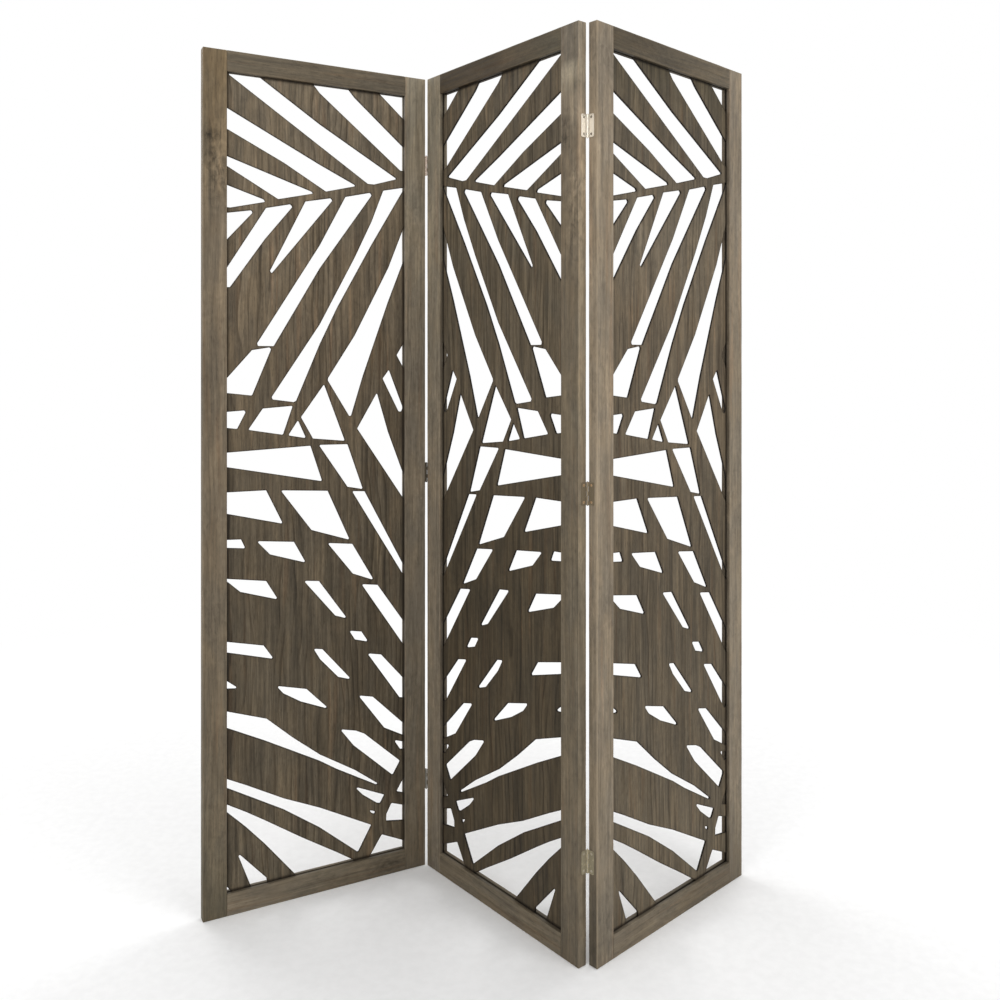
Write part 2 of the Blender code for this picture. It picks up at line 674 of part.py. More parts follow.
def main():
    clear_scene()
    spots = panel_spots()
    parents = {}
    for panel, (hang, _) in spots.items():
        parents[panel] = link(f"{panel}_panel_axis", None)
        parents[panel].matrix_basis = hang
    build_panel("left", parents["left"], spots["left"][1], (0, -1), 1)
    build_panel("middle", parents["middle"], spots["middle"][1], (-1, 1), -1)
    build_panel("right", parents["right"], spots["right"][1], (1, 0), 1)
    patterns = {
        "swing": swing_leaf("swing_leaf_pattern"),
        "fixed": fixed_leaf("fixed_leaf_pattern"),
        "pin": pin("pin_pattern"),
        "screw": screw("screw_pattern"),
    }
    for row, height_share in HINGE_HEIGHT_SHARES.items():
        height = height_share * PANEL_HEIGHT
        # The left hinges have their pins in front of the panels, the right ones behind them.
        left_anchors = (
            (parents["left"], spot(0, 0, height)),
            (parents["middle"], spot(-AXIS_ACROSS, -AXIS_DEPTH, height)),
        )
        right_anchors = (
            (parents["right"], spot(0, 0, height, HALF_TURN)),
            (parents["middle"], spot(AXIS_ACROSS, AXIS_DEPTH, height, HALF_TURN)),
        )
        build_hinge(f"left_hinge_{row}", patterns, left_anchors)
        build_hinge(f"right_hinge_{row}", patterns, right_anchors)
    for pattern in patterns.values():
        bpy.data.objects.remove(pattern, do_unlink=True)


main()
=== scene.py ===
"""Dressed model of a folding wooden screen with palm-leaf fretwork.

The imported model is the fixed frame, and every place below is taken from its nodes. Metres, +Z up.
The front of the screen looks along -Y. Each panel also has axes of its own: across, left to right
seen from the front; through, from front to rear; and up, from the floor.
"""

import logging
import math
from dataclasses import dataclass, field
from enum import Enum
from typing import Iterable, Sequence

import bpy
import numpy as np
from mathutils.geometry import delaunay_2d_cdt
from numpy.typing import NDArray
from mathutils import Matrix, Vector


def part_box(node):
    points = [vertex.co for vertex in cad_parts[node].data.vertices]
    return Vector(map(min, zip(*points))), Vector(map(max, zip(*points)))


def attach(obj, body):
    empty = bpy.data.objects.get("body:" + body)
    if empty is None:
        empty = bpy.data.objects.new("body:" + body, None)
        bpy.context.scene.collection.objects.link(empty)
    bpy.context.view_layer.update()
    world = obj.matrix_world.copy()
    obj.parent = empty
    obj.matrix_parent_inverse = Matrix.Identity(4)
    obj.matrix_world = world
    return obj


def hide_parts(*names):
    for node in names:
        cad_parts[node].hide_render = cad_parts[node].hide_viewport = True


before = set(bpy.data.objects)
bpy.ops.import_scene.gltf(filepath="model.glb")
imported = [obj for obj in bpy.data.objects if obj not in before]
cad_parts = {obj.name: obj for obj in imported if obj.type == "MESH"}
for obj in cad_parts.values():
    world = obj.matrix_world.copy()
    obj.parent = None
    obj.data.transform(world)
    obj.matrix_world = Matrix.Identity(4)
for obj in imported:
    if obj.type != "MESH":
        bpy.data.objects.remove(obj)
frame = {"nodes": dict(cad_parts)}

Floats = NDArray[np.float64]
Whole = NDArray[np.int64]
Colour = tuple[float, float, float]
Sizes = tuple[float, float, float]
Socket = bpy.types.NodeSocket
Material = bpy.types.Material
Piece = bpy.types.Object

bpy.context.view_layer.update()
# What the vertices carry for the finishes.
GRAIN, TONE, WEAR, MOTTLE, FRAMED, FADE = "grain", "tone", "wear", "mottle", "framed", "fade"
log = logging.getLogger("folding_screen")


class Panel(Enum):
    """The three panels, left to right seen from the front."""

    LEFT = "left"
    MIDDLE = "middle"
    RIGHT = "right"

    @property
    def body(self) -> str:
        """The body that the panel is in the frame."""
        return f"{self.value}_panel"


class Spoken(Enum):
    """A choice whose name stands in node names."""

    @property
    def word(self) -> str:
        """The choice as it stands in node names."""
        return self.name.lower()


class Side(Spoken):
    """The two sides of a panel or of the screen."""

    LEFT = -1
    RIGHT = 1


class End(Spoken):
    """The two ends of a panel."""

    TOP = 1
    BOTTOM = -1


class HingeRow(Enum):
    """The heights at which each pair of panels is hinged."""

    TOP = "top"
    MIDDLE = "middle"
    BOTTOM = "bottom"


class Leaf(Enum):
    """The leaf on the outer panel swings, and the one on the middle panel is fixed."""

    SWING = "swing"
    FIXED = "fixed"


def node_points(node: str) -> Floats:
    """The vertices of a frame node, in the world.

    Args:
        node: the node's name.

    Returns:
        An array of N places.
    """
    mesh = frame["nodes"][node].data
    places = np.empty(len(mesh.vertices) * 3, np.float32)
    mesh.vertices.foreach_get("co", places)
    return places.reshape(-1, 3).astype(float)


def welded_node(node: str, nearness: float = 1e-6) -> tuple[Floats, Whole]:
    """A frame node's loose triangles, joined where their corners meet.

    Args:
        node: the node's name.
        nearness: the grid, in metres, on which two corners count as one.

    Returns:
        The places of the joined corners, and the triangles as rows of three indices.
    """
    places = node_points(node)
    mesh = frame["nodes"][node].data
    corners = np.empty(len(mesh.loops), np.int32)
    mesh.loops.foreach_get("vertex_index", corners)
    _, first, index = np.unique(
        np.round(places / nearness).astype(np.int64), axis=0, return_index=True, return_inverse=True
    )
    triangles = index.reshape(-1)[corners].reshape(-1, 3)
    a, b, c = triangles.T
    return places[first], triangles[(a != b) & (b != c) & (a != c)]


@dataclass(frozen=True)
class PanelAxes:
    """Where one panel stands.

    Attributes:
        centre: the middle of the panel's foot, in the world.
        across: the unit vector along the panel's width.
    """

    centre: Floats
    across: Floats

    @classmethod
    def of(cls, panel: Panel) -> "PanelAxes":
        """The axes of a panel, from the middles of its two stiles.

        Args:
            panel: the panel.

        Returns:
            Its axes.
        """
        middles = []
        for side in Side:
            low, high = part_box(f"{panel.value}_panel_{side.word}_stile")
            middles.append((np.array(low) + np.array(high)) / 2)
        run = middles[1] - middles[0]
        centre = (middles[0] + middles[1]) / 2
        centre[2] = 0.0
        return cls(centre, run / np.linalg.norm(run))

    @property
    def turn(self) -> Floats:
        """The matrix whose rows are the panel's axes: across, through and up."""
        x, y = self.across[:2]
        return np.array([[x, y, 0.0], [-y, x, 0.0], [0.0, 0.0, 1.0]])

    def to_world(self, places: Floats) -> Floats:
        """World places of N places on the panel: the centre plus each axis times its share."""
        return self.centre + places @ self.turn

    def to_panel(self, places: Floats) -> Floats:
        """Places on the panel of N world places, the inverse of to_world."""
        return (places - self.centre) @ self.turn.T

    def extent(self, node: str) -> tuple[Floats, Floats]:
        """The size of a frame node along the panel's axes.

        Args:
            node: the node's name.

        Returns:
            Its lowest and its highest corner.
        """
        places = self.to_panel(node_points(node))
        return places.min(axis=0), places.max(axis=0)


@dataclass
class Surface:
    """A closed shape as arrays.

    Attributes:
        places: N vertices.
        quads: faces of four corners.
        triangles: faces of three corners.
        caps: faces of many corners.
        values: numbers or vectors carried by the vertices, by name.
        second_quads: whether the quads wear the second finish.
        second_caps: whether the caps wear the second finish.
    """

    places: Floats
    quads: Whole = field(default_factory=lambda: np.empty((0, 4), np.int64))
    triangles: Whole = field(default_factory=lambda: np.empty((0, 3), np.int64))
    caps: list[Whole] = field(default_factory=list)
    values: dict[str, Floats] = field(default_factory=dict)
    second_quads: bool = False
    second_caps: bool = False

    def volume(self) -> float:
        """The volume: a sixth of the triple product of each triangle's corners, summed.

        Returns:
            The volume, below zero where the faces point in.
        """
        fans = [self.triangles, self.quads[:, [0, 1, 2]], self.quads[:, [0, 2, 3]]]
        for cap in self.caps:
            fans.append(np.stack([np.full(len(cap) - 2, cap[0]), cap[1:-1], cap[2:]], axis=1))
        a, b, c = (self.places[np.concatenate(fans)[:, k]] for k in range(3))
        return float(np.einsum("ij,ij->i", a, np.cross(b, c)).sum() / 6)

    def outward(self) -> "Surface":
        """Turns the faces over if they point in.

        Returns:
            This same shape, with its faces pointing out.
        """
        if self.volume() < 0:
            self.quads = self.quads[:, ::-1]
            self.triangles = self.triangles[:, ::-1]
            self.caps = [cap[::-1] for cap in self.caps]
        return self

    def joined(self, other: "Surface") -> "Surface":
        """Puts this shape and another one in a single set of arrays.

        Args:
            other: a shape that carries the same values.

        Returns:
            The two as one shape.
        """
        shift = len(self.places)
        return Surface(
            np.concatenate([self.places, other.places]),
            np.concatenate([self.quads, other.quads + shift]),
            np.concatenate([self.triangles, other.triangles + shift]),
            self.caps + [cap + shift for cap in other.caps],
            {name: np.concatenate([own, other.values[name]]) for name, own in self.values.items()},
            self.second_quads,
            self.second_caps,
        )

    def build(self, name: str, finishes: Sequence[Material], sharp: float) -> Piece:
        """A mesh object of this shape.

        Args:
            name: the piece's name.
            finishes: its first and, where it has one, its second material.
            sharp: the angle, in degrees, past which an edge shades as an edge.

        Returns:
            The linked object, at the origin.
        """
        sizes = [len(self.quads) * [4], len(self.triangles) * [3], [len(cap) for cap in self.caps]]
        sizes = np.concatenate([np.array(part, np.int32) for part in sizes])
        corners = np.concatenate([self.quads.ravel(), self.triangles.ravel(), *self.caps])
        mesh = bpy.data.meshes.new(name)
        mesh.vertices.add(len(self.places))
        mesh.vertices.foreach_set("co", self.places.astype(np.float32).ravel())
        mesh.loops.add(len(corners))
        mesh.loops.foreach_set("vertex_index", corners.astype(np.int32))
        mesh.polygons.add(len(sizes))
        starts = np.concatenate([[0], np.cumsum(sizes)[:-1]])
        mesh.polygons.foreach_set("loop_start", starts.astype(np.int32))
        second = np.zeros(len(sizes), np.int32)
        second[: len(self.quads)] = int(self.second_quads)
        second[len(sizes) - len(self.caps) :] = int(self.second_caps)
        mesh.polygons.foreach_set("material_index", second)
        mesh.update(calc_edges=True)
        for value_name, value in self.values.items():
            kind, key = ("FLOAT", "value") if value.ndim == 1 else ("FLOAT_VECTOR", "vector")
            layer = mesh.attributes.new(value_name, kind, "POINT")
            layer.data.foreach_set(key, value.astype(np.float32).ravel())
        for finish in finishes:
            mesh.materials.append(finish)
        mesh.shade_smooth()
        mesh.set_sharp_from_angle(angle=math.radians(sharp))
        piece = bpy.data.objects.new(name, mesh)
        bpy.context.scene.collection.objects.link(piece)
        return piece


def ring_quads(rings: int, points: int) -> Whole:
    """The quads between neighbouring rings of points, where each ring's last point meets its first.

    Point k of ring i has the index i times the points plus k.

    Args:
        rings: how many rings there are.
        points: how many points each has.

    Returns:
        Rows of four indices.
    """
    i, k = np.meshgrid(np.arange(rings - 1), np.arange(points), indexing="ij")
    after = (k + 1) % points
    near, far = i * points, (i + 1) * points
    return np.stack([near + k, near + after, far + after, far + k], axis=-1).reshape(-1, 4)


def carried(outlines: Floats, stations: Floats) -> Surface:
    """A shape of closed outlines carried along a straight line.

    Point k of outline i lies at (a, b, s): its outline's two coordinates and the outline's station.

    Args:
        outlines: M outlines of K points each, with two coordinates.
        stations: the M places along the line, or M rows of K where each point has its own.

    Returns:
        The shape, with a cap at each end.
    """
    rings, points, _ = outlines.shape
    along = np.broadcast_to(stations.reshape(rings, -1), (rings, points))
    places = np.concatenate([outlines, along[..., None]], axis=2).reshape(-1, 3)
    first = np.arange(points)
    caps = [first[::-1], first + (rings - 1) * points]
    return Surface(places, ring_quads(rings, points), caps=caps)


def linear(colour: Colour) -> tuple[float, float, float, float]:
    """A colour written in sRGB parts of 255, as the linear colour that shaders take.

    Each part p is divided by 255, and becomes p / 12.92 up to 0.04045, else ((p + 0.055) / 1.055)
    to the power 2.4.

    Args:
        colour: red, green and blue.

    Returns:
        Linear red, green, blue, and an alpha of 1.
    """
    parts = np.array(colour, float) / 255
    red, green, blue = np.where(parts <= 0.04045, parts / 12.92, ((parts + 0.055) / 1.055) ** 2.4)
    return float(red), float(green), float(blue), 1.0


def drift(stations: Floats, seed: int, spacing: float) -> Floats:
    """A slow wander between about -1 and 1 along a line.

    It is 1.6 times the mean of five sines of seeded phase, whose wavelengths go from twice the
    spacing down to a third of it, each weighted by the root of its wavelength.

    Args:
        stations: the places along the line.
        seed: picks the phases.
        spacing: about how far it is from one swell to the next.

    Returns:
        One number for each station.
    """
    rng = np.random.default_rng(seed)
    waves = spacing * np.geomspace(2.0, 1 / 3, 5)
    phases = rng.uniform(0, 2 * np.pi, 5)
    weights = np.sqrt(waves) / np.sqrt(waves).sum()
    return 1.6 * (np.sin(2 * np.pi * stations[..., None] / waves + phases) * weights).sum(axis=-1)


class Recipe:
    """The nodes of one material, laid down one after another."""

    def __init__(self, name: str) -> None:
        """Starts a material whose surface is one Principled shader.

        Args:
            name: the material's name.
        """
        self.material = bpy.data.materials.new(name)
        self.material.use_nodes = True
        self.tree = self.material.node_tree
        self.tree.nodes.clear()
        self.shader = self.add("ShaderNodeBsdfPrincipled")
        self.out = self.add("ShaderNodeOutputMaterial")
        self.tree.links.new(self.shader.outputs["BSDF"], self.out.inputs["Surface"])

    def add(self, kind: str, **settings: object) -> bpy.types.Node:
        """Adds a node.

        Args:
            kind: the node's type.
            settings: its properties.

        Returns:
            The node.
        """
        node = self.tree.nodes.new(kind)
        for key, value in settings.items():
            setattr(node, key, value)
        return node

    def feed(self, inlet: Socket, value: object) -> None:
        """Links an outlet to an inlet, or writes a plain value there.

        Args:
            inlet: the inlet.
            value: the outlet or the value.
        """
        if isinstance(value, Socket):
            self.tree.links.new(value, inlet)
        else:
            inlet.default_value = value

    def attribute(self, name: str, outlet: str) -> Socket:
        """A value that the mesh carries."""
        return self.add("ShaderNodeAttribute", attribute_name=name).outputs[outlet]

    def place(self) -> Socket:
        """The object's own coordinates."""
        return self.add("ShaderNodeTexCoord").outputs["Object"]

    def stretched(self, place: Socket, periods: Sizes) -> Socket:
        """Coordinates divided by a period on each axis.

        Args:
            place: the coordinates.
            periods: the three periods, in metres.

        Returns:
            The new coordinates.
        """
        node = self.add("ShaderNodeMapping", vector_type="POINT")
        node.inputs["Scale"].default_value = tuple(1 / period for period in periods)
        self.feed(node.inputs["Vector"], place)
        return node.outputs["Vector"]

    def noise(
        self,
        place: Socket,
        periods: Sizes,
        detail: float = 3.0,
        roughness: float = 0.55,
        swirl: float = 0.0,
    ) -> Socket:
        """Soft noise from 0 to 1, with a middle of a half.

        Args:
            place: the coordinates.
            periods: the size of its patches on each axis, in metres.
            detail: how many finer layers lie over it.
            roughness: how strong these are.
            swirl: how far it bends itself.

        Returns:
            The noise.
        """
        node = self.add("ShaderNodeTexNoise", noise_dimensions="3D")
        self.feed(node.inputs["Vector"], self.stretched(place, periods))
        node.inputs["Scale"].default_value = 1.0
        node.inputs["Detail"].default_value = detail
        node.inputs["Roughness"].default_value = roughness
        node.inputs["Distortion"].default_value = swirl
        return node.outputs["Fac"]

    def ramp(self, factor: Socket, stops: Sequence[tuple[float, float | Colour]]) -> Socket:
        """Shades or colours met one after another as a factor rises, easing from stop to stop.

        Args:
            factor: the number that picks the shade.
            stops: each stop's place, and its shade from 0 to 1 or its sRGB colour.

        Returns:
            The colour.
        """
        node = self.add("ShaderNodeValToRGB")
        node.color_ramp.interpolation = "EASE"
        elements = node.color_ramp.elements
        while len(elements) < len(stops):
            elements.new(0.5)
        for element, (place, shade) in zip(elements, stops):
            grey = isinstance(shade, (int, float))
            element.position = place
            element.color = (shade, shade, shade, 1.0) if grey else linear(shade)
        self.feed(node.inputs["Fac"], factor)
        return node.outputs["Color"]

    def mix(self, factor: object, first: object, second: object, kind: str = "MIX") -> Socket:
        """One colour laid over another.

        Args:
            factor: how much of the second shows.
            first: the colour below.
            second: the colour above.
            kind: how the two meet.

        Returns:
            The colour.
        """
        node = self.add("ShaderNodeMix", data_type="RGBA", blend_type=kind, clamp_factor=True)
        factor_in, first_in, second_in = (
            next(s for s in node.inputs if s.identifier == name)
            for name in ("Factor_Float", "A_Color", "B_Color")
        )
        self.feed(factor_in, factor)
        self.feed(first_in, first)
        self.feed(second_in, second)
        return next(s for s in node.outputs if s.identifier == "Result_Color")

    def sum(self, kind: str, first: object, second: object = 0.0, third: object = 0.0) -> Socket:
        """A sum, product or other arithmetic of numbers.

        Args:
            kind: the operation.
            first: the first number.
            second: the second, for an operation that takes two.
            third: the third, for an operation that takes three.

        Returns:
            The result.
        """
        node = self.add("ShaderNodeMath", operation=kind)
        self.feed(node.inputs[0], first)
        self.feed(node.inputs[1], second)
        self.feed(node.inputs[2], third)
        return node.outputs[0]

    def scaled(self, colour: object, by: object) -> Socket:
        """A colour times a vector or number, part by part.

        Args:
            colour: the colour.
            by: the factor.

        Returns:
            The new colour.
        """
        node = self.add("ShaderNodeVectorMath", operation="MULTIPLY")
        self.feed(node.inputs[0], colour)
        self.feed(node.inputs[1], by)
        return node.outputs[0]

    def spread(
        self,
        value: Socket,
        before: tuple[float, float],
        after: tuple[float, float],
        kind: str = "LINEAR",
    ) -> Socket:
        """A number that goes from one value to another, and stays there, as another number rises.

        Args:
            value: the number that rises.
            before: where the change begins and ends.
            after: the result there.
            kind: how it goes from one to the other.

        Returns:
            The result.
        """
        node = self.add("ShaderNodeMapRange", clamp=True, interpolation_type=kind)
        self.feed(node.inputs["Value"], value)
        for key, number in zip(("From Min", "From Max", "To Min", "To Max"), (*before, *after)):
            node.inputs[key].default_value = number
        return node.outputs["Result"]

    def relief(self, height: Socket, depth: float, strength: float = 1.0) -> None:
        """Bumps the surface.

        Args:
            height: the height, from 0 to 1.
            depth: how many metres a height of 1 is.
            strength: how much of the bump shows.
        """
        node = self.add("ShaderNodeBump")
        node.inputs["Distance"].default_value = depth
        node.inputs["Strength"].default_value = strength
        self.feed(node.inputs["Height"], height)
        self.feed(self.shader.inputs["Normal"], node.outputs["Normal"])


# What each mark in the wood does to the colour below it, as factors of red, green and blue.
LATE_WOOD: Colour = (0.30, 0.27, 0.24)
REDDISH: Colour = (1.16, 0.96, 0.84)
PORE: Colour = (0.42, 0.40, 0.38)
# Painted shade, laid on the fretwork where the frame stands over it.
PAINTED_FRAME_SHADE: Colour = (0.16, 0.14, 0.12)
COOL: Colour = (0.99, 1.0, 1.01)
SALLOW: Colour = (1.03, 1.0, 0.95)
WOOD_SPECULAR = 0.2

# How large the patches of each layer of noise in the wood are, in metres across, through and along
# the grain.
FIBRES: Sizes = (0.0009, 0.0009, 0.022)
PORES: Sizes = (0.0012, 0.0012, 0.016)
WARM_STREAKS: Sizes = (0.013, 0.013, 0.3)
RUBBED_PATCHES: Sizes = (0.01, 0.01, 0.05)
FINE_BLOTCHES: Sizes = (0.009, 0.009, 0.016)
BROAD_BLOTCHES: Sizes = (0.04, 0.04, 0.11)
SPECKS: Sizes = (0.0008, 0.0008, 0.0008)
# Between which distances from the frame its painted shade fades, in metres, and the shade's
# share at each.
FRAME_SHADE_FADES, FRAME_SHADE_SHARES = (0.0015, 0.0075), (0.9, 0.0)


@dataclass(frozen=True)
class StainedWood:
    """Long-grained wood under a thin weathered stain.

    Attributes:
        name: the finish's name.
        coat: the stain's middle colour, in sRGB.
        ring: how far apart the growth rings are, and how far they wander, in rings.
        ring_depth: how dark the late wood of a ring is.
        streak: the size of the fine streaks across and along the grain.
        contrast: how far the streaks leave the middle colour.
        mottling: how far the blotches leave it where the mesh asks for them in full.
        warmth: how strong the reddish streaks are.
        pores: how dark the pores are.
        rim: the colour on arrises, rubbed-through stain with a painted highlight, or along
            cut-outs.
        rim_strength: how much of it shows there.
        gloss: the surface's middle roughness.
        framed_half: half the width and height of the opening that the wood is seen through, if any,
        beside whose edges painted shade is laid.
    """

    name: str
    coat: Colour
    ring: tuple[float, float]
    ring_depth: float
    streak: tuple[float, float]
    contrast: float
    mottling: float
    warmth: float
    pores: float
    rim: Colour
    rim_strength: float
    gloss: float
    framed_half: tuple[float, float] | None = None

    def material(self) -> Material:
        """Builds the finish.

        Each layer of grain is noise stretched along the board, turned into a factor of about 1.
        The coat's colour is multiplied by all of them, and by the tone that the mesh carries.

        Returns:
            The material.
        """
        recipe = Recipe(self.name)
        grain = recipe.attribute(GRAIN, "Vector")
        across, along = self.streak
        streak = recipe.noise(grain, (across, across, along), 3.0, 0.6, 0.4)
        wide = recipe.noise(grain, (3.4 * across, 0.02, 1.6 * along), 2.0, 0.5, 0.5)
        fibre = recipe.noise(grain, FIBRES, 3.0, 0.7)
        pore = recipe.noise(grain, PORES, 1.0, 0.5)
        first = self.factor(recipe, streak, self.contrast)
        body = recipe.mix(1.0, linear(self.coat), first, "MULTIPLY")
        body = recipe.scaled(body, self.factor(recipe, wide, self.contrast))
        body = recipe.scaled(body, self.factor(recipe, fibre, self.contrast / 2))
        rings = self.rings(recipe, grain)
        body = recipe.mix(rings, body, recipe.scaled(body, LATE_WOOD))
        body = self.blotched(recipe, grain, body)
        warm = recipe.noise(grain, WARM_STREAKS, 2.0)
        red = recipe.ramp(warm, [(0.56, 0.0), (0.7, self.warmth)])
        body = recipe.mix(red, body, recipe.scaled(body, REDDISH))
        dark = recipe.ramp(pore, [(0.6, 0.0), (0.72, self.pores)])
        body = recipe.mix(dark, body, recipe.scaled(body, PORE))
        body = recipe.scaled(body, recipe.attribute(TONE, "Vector"))
        # Painted shade on the fretwork beside the frame.
        if self.framed_half:
            body = recipe.mix(self.pooled(recipe), body, recipe.scaled(body, PAINTED_FRAME_SHADE))
        # On the frame's arrises the rim is rubbed-through stain and a painted highlight.
        patches = recipe.noise(grain, RUBBED_PATCHES, 3.0, 0.65)
        rubbed = recipe.ramp(patches, [(0.3, 0.3), (0.62, 1.0)])
        edge = recipe.sum("MULTIPLY", recipe.attribute(WEAR, "Fac"), rubbed)
        edge = recipe.sum("MULTIPLY", edge, self.rim_strength)
        body = recipe.mix(edge, body, linear(self.rim))
        recipe.feed(recipe.shader.inputs["Base Color"], body)
        matt = recipe.ramp(streak, [(0.3, self.gloss - 0.08), (0.7, self.gloss + 0.1)])
        recipe.feed(recipe.shader.inputs["Roughness"], matt)
        recipe.shader.inputs["Specular IOR Level"].default_value = WOOD_SPECULAR
        height = recipe.sum("MULTIPLY_ADD", streak, 0.6, recipe.sum("MULTIPLY", fibre, 0.4))
        height = recipe.sum("SUBTRACT", height, recipe.sum("MULTIPLY", dark, 0.5))
        height = recipe.sum("SUBTRACT", height, recipe.sum("MULTIPLY", rings, 0.6))
        recipe.relief(height, 0.0004, 0.8)
        return recipe.material

    def rings(self, recipe: Recipe, grain: Socket) -> Socket:
        """The late wood of the growth rings, as a share from 0 to the ring depth.

        The place across, divided by the spacing, plus slow noise times the wander, is cut down to
        its fraction. The wood darkens slowly as this goes from 0 to 0.88 and then lightens at once.
        A second slow noise lets whole rings fade.

        Args:
            recipe: the material's nodes.
            grain: the grain coordinates.

        Returns:
            The share.
        """
        spacing, wander = self.ring
        across = recipe.add("ShaderNodeSeparateXYZ")
        recipe.feed(across.inputs["Vector"], grain)
        slow = recipe.noise(grain, (6 * spacing, 0.05, 0.32), 2.0, 0.45)
        wandering = recipe.sum("MULTIPLY", slow, wander)
        turn = recipe.sum("MULTIPLY_ADD", across.outputs["X"], 1 / spacing, wandering)
        ring = [(0.0, 0.0), (0.5, 0.12), (0.88, 1.0), (1.0, 0.0)]
        late = recipe.ramp(recipe.sum("FRACT", turn), ring)
        fading = recipe.noise(grain, (1.7 * spacing, 0.03, 0.5), 2.0)
        present = recipe.ramp(fading, [(0.38, 0.1), (0.66, 1.0)])
        share = recipe.sum("MULTIPLY", late, present)
        return recipe.sum("MULTIPLY", share, self.ring_depth)

    def blotched(self, recipe: Recipe, grain: Socket, body: Socket) -> Socket:
        """Blotches where the stain took unevenly.

        The factor is 1 plus the mottling, times the mottle that the mesh carries, times the noise
        less a half.

        Args:
            recipe: the material's nodes.
            grain: the grain coordinates.
            body: the colour so far.

        Returns:
            The colour.
        """
        fine = recipe.noise(grain, FINE_BLOTCHES, 4.0, 0.6, 0.5)
        broad = recipe.noise(grain, BROAD_BLOTCHES, 3.0, 0.55, 0.3)
        both = recipe.sum("MULTIPLY_ADD", fine, 0.55, recipe.sum("MULTIPLY", broad, 0.45))
        centred = recipe.sum("SUBTRACT", both, 0.5)
        swing = recipe.sum("MULTIPLY", centred, recipe.attribute(MOTTLE, "Fac"))
        body = recipe.scaled(body, recipe.sum("MULTIPLY_ADD", swing, self.mottling, 1.0))
        hue = recipe.ramp(broad, [(0.35, 0.0), (0.65, 1.0)])
        cool = recipe.scaled(body, COOL)
        return recipe.mix(hue, cool, recipe.scaled(body, SALLOW))

    def pooled(self, recipe: Recipe) -> Socket:
        """Painted shade beside the frame, as a share that falls with the distance to it.

        The mesh carries the place across and up from the opening's middle. The distance is the
        smaller of half width less the place across, and half height less the place up. The share
        falls from 0.9 at 1.5 mm to nothing at 7.5 mm.

        Args:
            recipe: the material's nodes.

        Returns:
            The share.
        """
        parts = recipe.add("ShaderNodeSeparateXYZ")
        recipe.feed(parts.inputs["Vector"], recipe.attribute(FRAMED, "Vector"))
        gaps = [
            recipe.sum("SUBTRACT", half, recipe.sum("ABSOLUTE", parts.outputs[name]))
            for half, name in zip(self.framed_half, ("X", "Z"))
        ]
        distance = recipe.sum("MINIMUM", *gaps)
        return recipe.spread(distance, FRAME_SHADE_FADES, FRAME_SHADE_SHARES, "SMOOTHSTEP")

    def factor(self, recipe: Recipe, noise: Socket, contrast: float) -> Socket:
        """A factor that goes with noise, on a straight line from 0.3 to 0.7 of it.

        Args:
            recipe: the material's nodes.
            noise: the noise.
            contrast: how far the factor leaves 1 at either end.

        Returns:
            The factor.
        """
        return recipe.spread(noise, (0.3, 0.7), (1 - contrast, 1 + contrast))


@dataclass(frozen=True)
class CutWood:
    """Wood cut across its fibres: a board's end, or the wall of a cut-out.

    Attributes:
        name: the finish's name.
        coat: the middle colour, in sRGB.
        layer: how far apart its rings or plies are, from front to rear.
        contrast: how far they leave the middle colour.
    """

    name: str
    coat: Colour
    layer: float
    contrast: float

    def material(self) -> Material:
        """Builds the finish, whose bands are noise drawn out along the cut.

        Returns:
            The material.
        """
        recipe = Recipe(self.name)
        grain = recipe.attribute(GRAIN, "Vector")
        bands = recipe.noise(grain, (0.02, self.layer, 0.02), 2.0, 0.5, 0.3)
        specks = recipe.noise(grain, SPECKS, 2.0, 0.6)
        dark = tuple(part * (1 - self.contrast) for part in self.coat)
        light = tuple(min(part * (1 + self.contrast), 255) for part in self.coat)
        body = recipe.ramp(bands, [(0.32, dark), (0.5, self.coat), (0.68, light)])
        body = recipe.mix(recipe.ramp(specks, [(0.5, 0.0), (0.7, 0.6)]), body, linear(dark))
        body = recipe.scaled(body, recipe.attribute(TONE, "Vector"))
        recipe.feed(recipe.shader.inputs["Base Color"], body)
        matt = recipe.ramp(specks, [(0.3, 0.7), (0.7, 0.9)])
        recipe.feed(recipe.shader.inputs["Roughness"], matt)
        recipe.shader.inputs["Specular IOR Level"].default_value = WOOD_SPECULAR
        recipe.relief(specks, 0.0003, 0.7)
        return recipe.material


# How large the patches of tarnish and the pits in the plating are, in metres.
TARNISH: Sizes = (0.006, 0.006, 0.009)
PITS: Sizes = (0.0006, 0.0006, 0.0012)
# The level that noise has to pass for the film to lie there, with no cover, and how far the full
# cover lowers it.
FILM_LEVEL, FILM_FALL = 0.68, 0.36
# The share of the film that is gone where a hinge is rubbed.
RUBBED_OFF = 0.75


